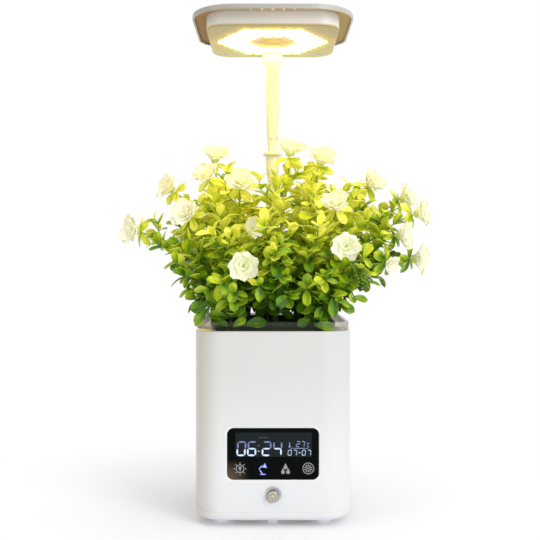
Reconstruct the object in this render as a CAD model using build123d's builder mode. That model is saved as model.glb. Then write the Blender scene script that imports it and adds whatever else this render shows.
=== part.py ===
from build123d import *

import os
from math import cos, hypot, radians, sin, sqrt

os.makedirs("parts", exist_ok=True)

# Countertop hydroponic garden: a rounded-square pot with a clock panel, a water tank with a pump,
# a lift-out planting tray with five plants, and a grow lamp on a telescopic pole behind them.
# Millimetres, +Z up. The front faces -Y. The origin lies on the table, under the pot's middle.

# ---------------------------------------------------------------- clearances
fit_gap = 0.2            # between a moulded piece and the opening that it drops into
running_gap = 0.05       # radial, between a sliding or turning piece and its bore
screw_gap = 0.05         # radial, between a screw and its hole
soft_gap = 0.3           # between a plant or sponge and what is next to it
same_size = 0.01         # two radii closer than this count as one when edges are chosen

# ---------------------------------------------------------------- pot
pot_width = 144.0
pot_corner = 26.0
pot_wall = 3.0
rim_height = 179.0
rim_round = 1.2

base_height = 6.0        # underside of the base above the table
base_side = 8.5          # from there up to the seam
base_straight = 2.0      # part of its side that isn't rounded
seam_bevel = 0.4         # along the seam, on the shell and on the base
base_floor = 2.5
base_lip_height = 4.0
base_lip_wall = 2.0

foot_radius = 6.5
foot_inset = 25.0        # from the shell's faces to a foot's middle
foot_recess = 1.0
foot_round = 1.0
rest_width = 9.0
rest_depth = 5.0
rest_inset = 21.5        # from the shell's face to the centre rest's middle

seam_height = base_height + base_side
base_round = base_side - base_straight
pot_half = pot_width / 2
inner_width = pot_width - 2 * pot_wall
inner_half = inner_width / 2
inner_corner = pot_corner - pot_wall
base_floor_top = base_height + base_floor
lip_width = inner_width - 2 * fit_gap
lip_corner = inner_corner - fit_gap
pocket_width = lip_width - 2 * base_lip_wall
pocket_corner = lip_corner - base_lip_wall
foot_spread = pot_width - 2 * foot_inset

# ---------------------------------------------------------------- display, board and button
display_width = 83.0
display_height = 46.5
display_corner = 5.7
display_middle = 67.7    # height of its middle
display_recess = 0.3     # lens face behind the shell's face
display_flange = 2.0     # how far the lens's flange reaches behind the shell's edge
display_flange_thick = 1.2
window_bevel = 0.8
module_margin = 3.25     # from the lens's edges to the display module's

board_margin = 6.0       # board beyond its posts and past the button's middle
board_side_margin = 6.0
board_thick = 1.6
board_standoff = 7.5     # board's face behind the shell's inner face
post_radius = 3.0
post_gap = 1.8           # from the lens's flange to a post
post_across = 72.0
board_screw_radius = 1.0
board_screw_grip = 5.0
board_head_radius = 2.2
board_head_height = 1.6

button_drop = 14.0       # from the display's lower edge to the button's middle
button_radius = 5.25
button_reach = 5.0       # cap's face in front of the shell
button_stem_radius = 3.0
button_flange_radius = 4.5
button_flange_thick = 1.0
button_travel = 1.2
button_round = 1.2
dish_radius = 7.9
dish_depth = 1.8
dish_boss_margin = 1.6   # boss behind the dish, beyond its edge
dish_boss_height = 2.0
switch_size = 8.0
plunger_radius = 1.5

front_face = -pot_half
front_inside = front_face + pot_wall
board_face = front_inside + board_standoff
boss_face = front_inside + dish_boss_height
lens_face = front_face + display_recess
flange_face = front_inside - display_flange_thick
window_width = display_width + 2 * fit_gap
window_height = display_height + 2 * fit_gap
rebate_width = window_width + 2 * display_flange
rebate_height = window_height + 2 * display_flange
rebate_corner = display_corner + fit_gap + display_flange
button_height = display_middle - display_height / 2 - button_drop
post_high = display_middle + rebate_height / 2 + post_gap + post_radius
post_low = display_middle - rebate_height / 2 - post_gap - post_radius
board_low = button_height - board_margin
board_high = post_high + board_margin
board_width = post_across + 2 * board_side_margin
dish_sphere = (dish_radius ** 2 + dish_depth ** 2) / (2 * dish_depth)
dish_at_cap = dish_depth - dish_sphere + sqrt(dish_sphere ** 2 - button_radius ** 2)
button_face = front_face - button_reach
button_back = front_face + dish_at_cap - button_travel - fit_gap
button_flange = boss_face + fit_gap / 2
plunger_start = button_flange + button_flange_thick
plunger_end = board_face - 2 * fit_gap - button_travel
switch_face = plunger_start + button_travel + soft_gap

# ---------------------------------------------------------------- power inlet
jack_side_gap = 31.0     # from the shell's inner side to the jack's middle
jack_rise = 18.5         # above the base's floor
jack_radius = 5.5
jack_length = 14.0
jack_flange_radius = 7.5
jack_flange_thick = 1.2
jack_socket_radius = 2.8
jack_socket_depth = 9.0
jack_pin_radius = 1.0
jack_nut_across = 14.0
jack_nut_thick = 2.5

jack_x = jack_side_gap - inner_half
jack_height = base_floor_top + jack_rise

# ---------------------------------------------------------------- telescopic pole
pole_wall_gap = 4.25     # between the pole and the shell's rear wall
pole_radius = 6.75
pole_bore = 5.65
pole_length = 303.5
socket_radius = 8.5
socket_height = 38.0
socket_floor = 2.0
plug_height = 15.0
pole_screw_radius = 1.95
pole_screw_grip = 12.0
pole_head_radius = 3.5
pole_head_height = 2.2

bush_head = 10.5
bush_spigot = 20.0
bush_land = 0.3          # flat ring left between the bush's round and its bore

head_drop = 4.0          # lamp's travel down from the height shown
head_rise = 60.0         # and up from it
stop_clear = 0.5         # left between the stop and the bush at the lowest height

rod_radius = 5.0
rod_spare = 44.0         # rod left in the pole's bore below the bush at the greatest height
glide_height = 10.0
glide_cap = 2.0

stop_radius = 6.85
stop_tip_radius = 5.6
stop_taper = 9.5
stop_sleeve = 14.5
stop_flange_radius = 10.0
stop_flange_thick = 4.5
stop_flange_round = 1.5
rod_shown = 13.5         # bare rod between the stop and the mast tube

mast_radius = 6.5
mast_tip_radius = 5.5
mast_taper = 20.0
mast_length = 75.0
mast_end_wall = 6.0      # solid end above the rod's seat

neck_radius = 10.75
neck_taper = 6.0
neck_collar = 8.5
neck_spigot = 8.0
neck_round = 1.0
wire_bore = 3.5
nut_radius = 11.5
nut_thick = 3.0
nut_flats = 6

pole_y = inner_half - pole_wall_gap - pole_radius
pole_bottom = base_floor_top + socket_floor
pole_top = pole_bottom + pole_length
rod_bottom = pole_top - bush_spigot - head_rise - rod_spare - glide_height
stop_bottom = pole_top + bush_head + head_drop + stop_clear
stop_flange_bottom = stop_bottom + stop_taper + stop_sleeve
stop_top = stop_flange_bottom + stop_flange_thick
mast_bottom = stop_top + rod_shown
mast_top = mast_bottom + mast_length
rod_top = mast_top - mast_end_wall

# ---------------------------------------------------------------- planting tray and deck
tray_inset = 1.0         # collar's face inside the shell's face
collar_height = 8.0      # above the shell's rim
collar_wall = 3.0
collar_round = 1.0
skirt_depth = 8.0
skirt_wall = 2.0
shelf_rise = 1.0
shelf_thick = 2.5
deck_side_gap = 9.5      # from the collar's inside to the deck
deck_pole_gap = 4.75     # from the pole to the deck
deck_corner = 16.0
deck_lap = 3.3           # how far the deck's rim laps over the shelf
deck_rim = 4.0
deck_wall = 2.0
deck_floor = 2.5
deck_sink = 8.0          # from the shelf's top down to the deck's floor
deck_round = 1.0

collar_top = rim_height + collar_height
collar_width = pot_width - 2 * tray_inset
collar_corner = pot_corner - tray_inset
collar_inside = collar_width - 2 * collar_wall
skirt_width = inner_width - 2 * fit_gap
skirt_corner = inner_corner - fit_gap
shelf_bottom = rim_height + shelf_rise
shelf_top = shelf_bottom + shelf_thick
deck_front = deck_side_gap - collar_inside / 2
deck_back = pole_y - pole_radius - deck_pole_gap
deck_width = collar_inside - 2 * deck_side_gap
deck_depth = deck_back - deck_front
deck_middle = (deck_front + deck_back) / 2
deck_pan_width = deck_width - 2 * deck_lap
deck_pan_depth = deck_depth - 2 * deck_lap
deck_pan_corner = deck_corner - deck_lap
deck_floor_top = shelf_top - deck_sink
deck_bottom = deck_floor_top - deck_floor

basket_radius = 15.0
basket_foot_radius = 12.0
basket_flange_radius = 16.5
basket_flange_thick = 1.6
basket_depth = 38.0
basket_wall = 1.4
basket_slots = 8
slot_width = 3.0
slot_margin = 6.0
slot_reach = 2.8         # a slot's reach inside and outside the basket's wall
sponge_rise = 0.5        # sponge above the deck's floor
basket_side_inset = 22.5     # from the deck's edges to the front baskets' middles
basket_front_inset = 27.5
basket_back_side_inset = 30.5    # and to the back baskets' middles
basket_back_inset = 32.5

sponge_top = deck_floor_top + sponge_rise
basket_bottom = deck_floor_top - basket_depth
sponge_bottom = basket_bottom + basket_wall + soft_gap
basket_side = deck_width / 2 - basket_side_inset
basket_front = deck_front + basket_front_inset
basket_back_side = deck_width / 2 - basket_back_side_inset
basket_back = deck_back - basket_back_inset

# ---------------------------------------------------------------- water tank and pump
tank_side_gap = 8.0      # between the tank and the shell's side walls
tank_board_gap = 3.3     # between the tank and the board's screws
tank_socket_gap = 2.5    # between the tank and the pole's socket
tank_corner = 14.0
tank_wall = 2.0
tank_floor = 2.4
tank_rise = 15.5         # above the base's floor
tank_flange_thick = 2.0
ledge_depth = 13.0       # ledge below the shell's rim
ledge_height = 4.0
ledge_reach = 3.5
tank_boss_radius = 4.5
tank_boss_across = 60.0
tank_boss_inset = 13.0   # from the tank's front and back to its bosses
base_screw_radius = 1.45
base_screw_grip = 11.5
base_head_radius = 3.0
base_head_height = 2.0

ledge_top = rim_height - ledge_depth
tank_bottom = base_floor_top + tank_rise
tank_floor_top = tank_bottom + tank_floor
tank_top = ledge_top + tank_flange_thick
tank_front = board_face + board_thick + board_head_height + tank_board_gap
tank_back = pole_y - socket_radius - tank_socket_gap
tank_width = inner_width - 2 * tank_side_gap
tank_depth = tank_back - tank_front
tank_middle = (tank_front + tank_back) / 2
tank_boss_along = tank_depth - 2 * tank_boss_inset

pump_width = 40.0
pump_depth = 32.0
pump_height = 26.0
pump_corner = 4.0
pump_cover_thick = 2.0
pump_inlet_radius = 5.0
volute_radius = 10.0
volute_depth = 12.0
volute_offset = -5.0     # volute's axis in front of the pump's middle
impeller_radius = 8.6
impeller_hub_radius = 3.6
impeller_height = 8.0
impeller_lift = 0.8
impeller_vanes = 6
vane_thick = 1.4
vane_root = 1.0          # vanes' length inside the hub
shaft_radius = 1.5
tube_radius = 4.0
tube_bore = 2.5
tube_offset = 11.0       # outlet tube's axis behind the pump's middle
tube_clear = 7.0         # between the tube's end and the deck
tube_back_gap = 1.0      # the tube's axis behind the back baskets' middles

pump_middle = basket_back + tube_back_gap - tube_offset
pump_top = tank_floor_top + pump_height
pump_axis = pump_middle + volute_offset
tube_y = pump_middle + tube_offset
tube_top = deck_bottom - tube_clear
impeller_bottom = pump_top - volute_depth + impeller_lift

# ---------------------------------------------------------------- lamp head
housing_back_gap = 3.25  # from the neck to the housing's back
housing_width = 126.0
housing_depth = 129.0
housing_corner = 21.0
housing_wall = 1.8
housing_floor = 1.6
housing_height = 13.4
housing_round = 1.5

cap_side_reach = 13.5    # how far the cap reaches past the housing's sides
cap_front_reach = 16.5
cap_back_reach = 2.5
cap_front_corner = 42.0
cap_back_corner = 30.0
cap_wall = 1.8
cap_lip = 2.0            # how far the lip hangs below the liner
cap_rise = 3.3           # cap's top above the housing's
cap_skin = 1.4
cap_round = 2.5
liner_thick = 1.5
liner_margin = 4.0       # how far the liner covers the housing's edge
vent_count = 11
vent_pitch = 10.0
vent_radius = 1.6

lamp_offset = -2.5       # light panel's middle in front of the housing's
led_pitch = 10.0
led_inner_ring = 3
led_outer_ring = 5
led_lens_radius = 4.2
led_lens_drop = 0.8
led_chip = 2.8
led_chip_height = 0.6
sheet_margin = 7.4       # from the outermost lens centres to the sheet's points
hub_margin = 7.6         # from the innermost lens centres to the hub's points
neck_margin = 2.0        # from the neck to the light panel
board_air = 0.9          # between the housing's floor and the board
led_board_thick = 1.6
led_board_reach = 2.0    # the board's points past the sheet's points
standoff_radius = 2.5
sink_plate = 1.5
sink_fin = 4.0
fin_thick = 1.2
fin_pitch = 5.5
fin_pairs = 5
fin_fan_gap = 2.7        # from the fan to the first fin's face
fin_margin = 12.0        # from the fins' ends to the plate's edge

fan_size = 32.0
fan_corner = 3.0
fan_height = 6.0
fan_bore = 14.0
fan_blade_gap = 0.8      # between the blades' ends and the fan's bore
fan_hub_radius = 6.0
fan_blades = 7
blade_thick = 1.0
blade_angle = 35.0
blade_root = 1.0         # blades' length inside the hub
fan_pin_radius = 1.2
fan_pin_height = 3.2
fan_floor = 1.2
fan_spokes = 3
spoke_width = 2.4
grille_slots = 5
grille_slot_width = 2.2
grille_slot_pitch = 5.4
grille_rim = 7.0         # from a slot's end to the grille's slanting edge
grille_post_radius = 1.6
grille_post_ring = 14.5

head_screw_radius = 1.45
head_head_radius = 2.8
head_head_height = 1.6
head_boss_radius = 4.2
head_boss_inset = 13.5

housing_bottom = mast_top + neck_taper + neck_collar
housing_top = housing_bottom + housing_height
housing_back = pole_y + neck_radius + housing_back_gap
housing_front = housing_back - housing_depth
housing_middle = (housing_front + housing_back) / 2
floor_inside = housing_bottom + housing_floor
cap_width = housing_width + 2 * cap_side_reach
cap_depth = housing_depth + cap_front_reach + cap_back_reach
cap_front = housing_front - cap_front_reach
cap_middle = cap_front + cap_depth / 2
cap_top = housing_top + cap_rise
cap_inside = cap_top - cap_skin
lip_bottom = housing_top - cap_lip
vent_y = (cap_front + cap_wall + housing_front) / 2
lamp_middle = housing_middle + lamp_offset
neck_keepout = neck_radius + neck_margin
led_board_bottom = floor_inside + board_air
led_board_top = led_board_bottom + led_board_thick
sink_top = led_board_top + sink_plate
fan_top = sink_top + fan_height
sheet_radius = led_outer_ring * led_pitch + sheet_margin
hub_radius = led_inner_ring * led_pitch - hub_margin
led_board_radius = sheet_radius + led_board_reach
boss_across = housing_width - 2 * head_boss_inset
boss_along = housing_depth - 2 * head_boss_inset

# ---------------------------------------------------------------- plants
# A sprig is (tip x, tip y and tip height from the plant's crown, radius of its leafy part). Each
# plant has a few of them, fans out from the crown over its basket and stays inside its own share
# of the space.
stem_radius = 3.0
twig_radius = 1.6
crown_rise = 26.0        # crown's middle over the collar
crown_radius = 19.0
front_share = 22.0       # half width of the middle plant's share, at the front
back_share = 2.0         # where the front plants' share ends and the back plants' begins
pole_clear = 1.0         # between the plants and the pole's widest ring
leafy_short = 10.0       # radii of a sprig's leafy part
leafy_slim = 11.0
leafy_mid = 12.0
leafy_full = 13.0
leafy_wide = 14.0
leaf_start = 14.0        # where a sprig's leaves begin, from the crown's middle
leaf_slope = 0.55        # how soon they reach their full spread, in leafy radii
low_swell = 0.9          # share of the leafy radius where the spread begins
tip_swell = 0.85         # and one leafy radius before the tip
tip_point = 0.4          # and at the tip

crown_height = collar_top + crown_rise

plants = {
    "plant_front_left": (
        (-basket_side, basket_front),
        [
            (-36, 19, 125, leafy_full),
            (5, 15, 115, leafy_mid),
            (-53, 0, 80, leafy_full),
            (-112, 21, 61, leafy_slim),
            (1, -47, 28, leafy_wide),
            (-56, -9, 45, leafy_mid),
            (-48, -19, 15, leafy_mid),
            (-36, -21, -7, leafy_short),
            (-22, -39, 3, leafy_mid),
            (-20, -27, 55, leafy_wide),
            (-20, -3, 91, leafy_wide),
            (-4, -45, -3, leafy_short),
            (-42, 19, 27, leafy_mid),
        ],
    ),
    "plant_front_middle": (
        (0.0, basket_front),
        [
            (17, 12, 149, leafy_mid),
            (-13, -10, 74, leafy_mid),
            (4, -13, 109, leafy_mid),
            (-8, -39, 69, leafy_full),
            (2, -63, 37, leafy_full),
            (-12, -51, 9, leafy_short),
            (14, -49, -1, leafy_short),
            (12, -27, 49, leafy_full),
        ],
    ),
    "plant_front_right": (
        (basket_side, basket_front),
        [
            (19, 23, 139, leafy_mid),
            (25, -8, 90, leafy_wide),
            (31, -37, 46, leafy_wide),
            (112, 21, 81, leafy_slim),
            (97, 6, 53, leafy_slim),
            (103, 10, 27, leafy_slim),
            (48, -45, 33, leafy_mid),
            (38, -27, -5, leafy_short),
            (58, -15, 11, leafy_mid),
            (10, -51, 13, leafy_full),
            (6, -33, 63, leafy_full),
            (-2, -9, 109, leafy_mid),
            (44, 17, 97, leafy_mid),
        ],
    ),
    "plant_back_left": (
        (-basket_back_side, basket_back),
        [
            (-30, 6, 145, leafy_mid),
            (-83, -5, 107, leafy_mid),
            (-35, 75, 104, leafy_mid),
            (-82, 50, 71, leafy_mid),
            (5, 77, 62, leafy_mid),
            (-56, 70, 47, leafy_full),
            (-18, 76, 23, leafy_mid),
            (-54, 28, 13, leafy_mid),
            (-12, 30, 115, leafy_full),
            (-46, 36, 91, leafy_full),
            (-68, 8, 71, leafy_mid),
        ],
    ),
    "plant_back_right": (
        (basket_back_side, basket_back),
        [
            (75, -7, 114, leafy_mid),
            (108, 0, 104, leafy_slim),
            (24, 77, 106, leafy_mid),
            (82, 56, 77, leafy_mid),
            (-9, 77, 47, leafy_mid),
            (16, 16, 133, leafy_full),
            (48, 70, 61, leafy_full),
            (82, 32, 45, leafy_mid),
            (54, 40, 17, leafy_mid),
            (16, 74, 23, leafy_mid),
            (36, 36, 107, leafy_full),
        ],
    ),
}


def save(piece, name):
    """Name a finished piece and write it."""
    piece.part.label = name
    export_step(piece.part, "parts/" + name + ".step")


def upright(x, y):
    """The upright plane through a vertical axis, its own x to the right and its own y upwards."""
    return Plane(origin=(x, y, 0), x_dir=(1, 0, 0), z_dir=(0, -1, 0))


def hex_ring_points(first, last, pitch):
    """Points of a triangular grid that lie between two hexagonal rings around its middle."""
    points = []
    for row in range(-last, last + 1):
        for column in range(-last, last + 1):
            ring = max(abs(row), abs(column), abs(row + column))
            if first <= ring <= last:
                points.append(((column + row / 2) * pitch, row * pitch * sqrt(3) / 2))
    return points


# ================================================================ pot
with BuildPart() as outer_shell:
    with BuildSketch(Plane.XY.offset(seam_height)):
        RectangleRounded(pot_width, pot_width, pot_corner)
    extrude(amount=rim_height - seam_height)
    with BuildSketch(Plane.XY.offset(seam_height)):
        RectangleRounded(inner_width, inner_width, inner_corner)
    extrude(amount=rim_height - seam_height, mode=Mode.SUBTRACT)
    rim = outer_shell.faces().sort_by(Axis.Z)[-1]
    fillet(rim.outer_wire().edges(), rim_round)
    seam = outer_shell.faces().sort_by(Axis.Z)[0]
    chamfer(seam.outer_wire().edges(), seam_bevel)
    with BuildSketch(Plane.XY.offset(ledge_top - ledge_height)):
        RectangleRounded(inner_width, inner_width, inner_corner)
        RectangleRounded(
            inner_width - 2 * ledge_reach,
            inner_width - 2 * ledge_reach,
            inner_corner - ledge_reach,
            mode=Mode.SUBTRACT,
        )
    extrude(amount=ledge_height)
    # bosses behind the dish and the board's posts
    with BuildSketch(Plane.XZ.offset(-front_inside)):
        with Locations((0, button_height)):
            Circle(dish_radius + dish_boss_margin)
    extrude(amount=-dish_boss_height)
    with BuildSketch(Plane.XZ.offset(-front_inside)):
        for post_height in (post_low, post_high):
            with Locations((-post_across / 2, post_height), (post_across / 2, post_height)):
                Circle(post_radius)
    extrude(amount=-board_standoff)
    with BuildSketch(Plane.XZ.offset(-board_face)):
        for post_height in (post_low, post_high):
            with Locations((-post_across / 2, post_height), (post_across / 2, post_height)):
                Circle(board_screw_radius + screw_gap)
    extrude(amount=board_screw_grip + fit_gap, mode=Mode.SUBTRACT)
    # display window with its rebate and bevelled edge
    with BuildSketch(Plane.XZ.offset(-front_face)):
        with Locations((0, display_middle)):
            RectangleRounded(window_width, window_height, display_corner + fit_gap)
    extrude(amount=-pot_wall, mode=Mode.SUBTRACT)
    with BuildSketch(Plane.XZ.offset(-flange_face)):
        with Locations((0, display_middle)):
            RectangleRounded(rebate_width, rebate_height, rebate_corner)
    extrude(amount=-display_flange_thick, mode=Mode.SUBTRACT)
    window_edges = (
        outer_shell.edges()
        .filter_by_position(Axis.Y, front_face, front_face)
        .filter_by_position(
            Axis.Z,
            display_middle - window_height / 2,
            display_middle + window_height / 2,
        )
        .filter_by_position(Axis.X, -window_width / 2, window_width / 2)
    )
    chamfer(window_edges, window_bevel)
    # finger dish and the button's bore
    with Locations((0, front_face - dish_sphere + dish_depth, button_height)):
        Sphere(dish_sphere, mode=Mode.SUBTRACT)
    with BuildSketch(Plane.XZ.offset(-boss_face)):
        with Locations((0, button_height)):
            Circle(button_stem_radius + running_gap)
    extrude(amount=pot_wall + dish_boss_height, mode=Mode.SUBTRACT)
    # power inlet's hole
    with BuildSketch(Plane.XZ.offset(-inner_half)):
        with Locations((jack_x, jack_height)):
            Circle(jack_radius + screw_gap)
    extrude(amount=-pot_wall, mode=Mode.SUBTRACT)
save(outer_shell, "outer_shell")

with BuildPart() as base_cover:
    with BuildSketch(Plane.XY.offset(base_height)):
        RectangleRounded(pot_width, pot_width, pot_corner)
    extrude(amount=seam_height - base_height)
    fillet(base_cover.faces().sort_by(Axis.Z)[0].edges(), base_round)
    chamfer(base_cover.faces().sort_by(Axis.Z)[-1].edges(), seam_bevel)
    with BuildSketch(Plane.XY.offset(seam_height)):
        RectangleRounded(lip_width, lip_width, lip_corner)
    extrude(amount=base_lip_height)
    with BuildSketch(Plane.XY.offset(base_floor_top)):
        RectangleRounded(pocket_width, pocket_width, pocket_corner)
    extrude(amount=seam_height + base_lip_height - base_floor_top, mode=Mode.SUBTRACT)
    with BuildSketch(Plane.XY.offset(base_height)):
        with GridLocations(foot_spread, foot_spread, 2, 2):
            Circle(foot_radius + screw_gap)
    extrude(amount=foot_recess, mode=Mode.SUBTRACT)
    with BuildSketch(Plane.XY.offset(base_height)):
        with Locations((0, tank_middle)):
            with GridLocations(tank_boss_across, tank_boss_along, 2, 2):
                Circle(base_screw_radius + screw_gap)
        with Locations((0, pole_y)):
            Circle(pole_screw_radius + screw_gap)
    extrude(amount=base_floor, mode=Mode.SUBTRACT)
save(base_cover, "base_cover")

with BuildPart() as rubber_feet:
    with GridLocations(foot_spread, foot_spread, 2, 2):
        Cylinder(foot_radius, base_height + foot_recess, align=(Align.CENTER, Align.CENTER, Align.MIN))
    soles = rubber_feet.faces().filter_by(Plane.XY).group_by(Axis.Z)[0]
    fillet(soles.edges(), foot_round)
save(rubber_feet, "rubber_feet")

with BuildPart() as centre_rest:
    with Locations((0, rest_inset - pot_half)):
        Box(rest_width, rest_depth, base_height, align=(Align.CENTER, Align.CENTER, Align.MIN))
save(centre_rest, "centre_rest")

with BuildPart() as base_screws:
    with BuildSketch(Plane.XY.offset(base_height - base_head_height)):
        with Locations((0, tank_middle)):
            with GridLocations(tank_boss_across, tank_boss_along, 2, 2):
                Circle(base_head_radius)
    extrude(amount=base_head_height)
    with BuildSketch(Plane.XY.offset(base_height)):
        with Locations((0, tank_middle)):
            with GridLocations(tank_boss_across, tank_boss_along, 2, 2):
                Circle(base_screw_radius)
    extrude(amount=base_floor + base_screw_grip)
save(base_screws, "base_screws")

# ================================================================ display, board and button
with BuildPart() as display_lens:
    with BuildSketch(Plane.XZ.offset(-lens_face)):
        with Locations((0, display_middle)):
            RectangleRounded(display_width, display_height, display_corner)
    extrude(amount=-(front_inside - lens_face))
    with BuildSketch(Plane.XZ.offset(-flange_face)):
        with Locations((0, display_middle)):
            RectangleRounded(
                display_width + 2 * display_flange,
                display_height + 2 * display_flange,
                display_corner + display_flange,
            )
    extrude(amount=-display_flange_thick)
save(display_lens, "display_lens")

with BuildPart() as display_module:
    with BuildSketch(Plane.XZ.offset(-front_inside)):
        with Locations((0, display_middle)):
            Rectangle(display_width - 2 * module_margin, display_height - 2 * module_margin)
    extrude(amount=-board_standoff)
save(display_module, "display_module")

with BuildPart() as control_board:
    with BuildSketch(Plane.XZ.offset(-board_face)):
        with Locations((0, (board_low + board_high) / 2)):
            RectangleRounded(board_width, board_high - board_low, post_radius)
        for post_height in (post_low, post_high):
            with Locations((-post_across / 2, post_height), (post_across / 2, post_height)):
                Circle(board_screw_radius + screw_gap, mode=Mode.SUBTRACT)
    extrude(amount=-board_thick)
save(control_board, "control_board")

with BuildPart() as board_screws:
    with BuildSketch(Plane.XZ.offset(-board_face - board_thick)):
        for post_height in (post_low, post_high):
            with Locations((-post_across / 2, post_height), (post_across / 2, post_height)):
                Circle(board_head_radius)
    extrude(amount=-board_head_height)
    with BuildSketch(Plane.XZ.offset(-board_face - board_thick)):
        for post_height in (post_low, post_high):
            with Locations((-post_across / 2, post_height), (post_across / 2, post_height)):
                Circle(board_screw_radius)
    extrude(amount=board_thick + board_screw_grip)
save(board_screws, "board_screws")

with BuildPart() as tact_switch:
    with BuildSketch(Plane.XZ.offset(-board_face)):
        with Locations((0, button_height)):
            Rectangle(switch_size, switch_size)
    extrude(amount=board_face - switch_face)
    with BuildSketch(Plane.XZ.offset(-switch_face)):
        with Locations((0, button_height)):
            Circle(plunger_radius + running_gap)
    extrude(amount=-(board_face - switch_face - fit_gap), mode=Mode.SUBTRACT)
save(tact_switch, "tact_switch")

with BuildPart() as control_button:
    with BuildSketch(Plane.XZ.offset(-button_face)):
        with Locations((0, button_height)):
            Circle(button_radius)
    extrude(amount=-(button_back - button_face))
    fillet(control_button.edges().group_by(Axis.Y)[0], button_round)
    with BuildSketch(Plane.XZ.offset(-button_back)):
        with Locations((0, button_height)):
            Circle(button_stem_radius)
    extrude(amount=-(button_flange - button_back))
    with BuildSketch(Plane.XZ.offset(-button_flange)):
        with Locations((0, button_height)):
            Circle(button_flange_radius)
    extrude(amount=-button_flange_thick)
    with BuildSketch(Plane.XZ.offset(-plunger_start)):
        with Locations((0, button_height)):
            Circle(plunger_radius)
    extrude(amount=-(plunger_end - plunger_start))
save(control_button, "control_button")

with BuildPart() as power_jack:
    with BuildSketch(Plane.XZ.offset(-pot_half)):
        with Locations((jack_x, jack_height)):
            Circle(jack_flange_radius)
    extrude(amount=-jack_flange_thick)
    with BuildSketch(Plane.XZ.offset(-pot_half)):
        with Locations((jack_x, jack_height)):
            Circle(jack_radius)
    extrude(amount=jack_length)
    with BuildSketch(Plane.XZ.offset(-pot_half - jack_flange_thick)):
        with Locations((jack_x, jack_height)):
            Circle(jack_socket_radius)
            Circle(jack_pin_radius, mode=Mode.SUBTRACT)
    extrude(amount=jack_socket_depth, mode=Mode.SUBTRACT)
save(power_jack, "power_jack")

with BuildPart() as jack_nut:
    with BuildSketch(Plane.XZ.offset(-inner_half)):
        with Locations((jack_x, jack_height)):
            RegularPolygon(jack_nut_across / 2, 6, major_radius=False)
            Circle(jack_radius + screw_gap, mode=Mode.SUBTRACT)
    extrude(amount=jack_nut_thick)
save(jack_nut, "jack_nut")

# ================================================================ water tank and pump
with BuildPart() as water_tank:
    with BuildSketch(Plane.XY.offset(tank_bottom)):
        with Locations((0, tank_middle)):
            RectangleRounded(tank_width, tank_depth, tank_corner)
    extrude(amount=tank_top - tank_bottom)
    with BuildSketch(Plane.XY.offset(ledge_top)):
        RectangleRounded(inner_width - 2 * fit_gap, inner_width - 2 * fit_gap, lip_corner)
        with Locations((0, pole_y)):
            Circle(pole_radius + 2 * fit_gap, mode=Mode.SUBTRACT)
    extrude(amount=tank_flange_thick)
    with BuildSketch(Plane.XY.offset(base_floor_top)):
        with Locations((0, tank_middle)):
            with GridLocations(tank_boss_across, tank_boss_along, 2, 2):
                Circle(tank_boss_radius)
    extrude(amount=tank_bottom - base_floor_top)
    with BuildSketch(Plane.XY.offset(tank_floor_top)):
        with Locations((0, tank_middle)):
            RectangleRounded(
                tank_width - 2 * tank_wall, tank_depth - 2 * tank_wall, tank_corner - tank_wall
            )
    extrude(amount=tank_top - tank_floor_top, mode=Mode.SUBTRACT)
    with BuildSketch(Plane.XY.offset(base_floor_top)):
        with Locations((0, tank_middle)):
            with GridLocations(tank_boss_across, tank_boss_along, 2, 2):
                Circle(base_screw_radius + screw_gap)
    extrude(amount=base_screw_grip + fit_gap, mode=Mode.SUBTRACT)
save(water_tank, "water_tank")

with BuildPart() as pump_body:
    with BuildSketch(Plane.XY.offset(tank_floor_top)):
        with Locations((0, pump_middle)):
            RectangleRounded(pump_width, pump_depth, pump_corner)
    extrude(amount=pump_height)
    with BuildSketch(Plane.XY.offset(pump_top)):
        with Locations((0, pump_axis)):
            Circle(volute_radius)
            Circle(shaft_radius, mode=Mode.SUBTRACT)
    extrude(amount=-volute_depth, mode=Mode.SUBTRACT)
save(pump_body, "pump_body")

with BuildPart() as pump_cover:
    with BuildSketch(Plane.XY.offset(pump_top)):
        with Locations((0, pump_middle)):
            RectangleRounded(pump_width, pump_depth, pump_corner)
        with Locations((0, pump_axis)):
            Circle(pump_inlet_radius, mode=Mode.SUBTRACT)
        with Locations((0, tube_y)):
            Circle(tube_radius + screw_gap, mode=Mode.SUBTRACT)
    extrude(amount=pump_cover_thick)
save(pump_cover, "pump_cover")

with BuildPart() as pump_impeller:
    with BuildSketch(Plane.XY.offset(impeller_bottom)):
        with Locations((0, pump_axis)):
            Circle(impeller_hub_radius)
            with PolarLocations((impeller_hub_radius + impeller_radius) / 2, impeller_vanes):
                Rectangle(impeller_radius - impeller_hub_radius + 2 * vane_root, vane_thick)
            Circle(shaft_radius + running_gap, mode=Mode.SUBTRACT)
    extrude(amount=impeller_height)
save(pump_impeller, "pump_impeller")

with BuildPart() as outlet_tube:
    with BuildSketch(Plane.XY.offset(pump_top)):
        with Locations((0, tube_y)):
            Circle(tube_radius)
            Circle(tube_bore, mode=Mode.SUBTRACT)
    extrude(amount=tube_top - pump_top)
save(outlet_tube, "outlet_tube")

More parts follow.
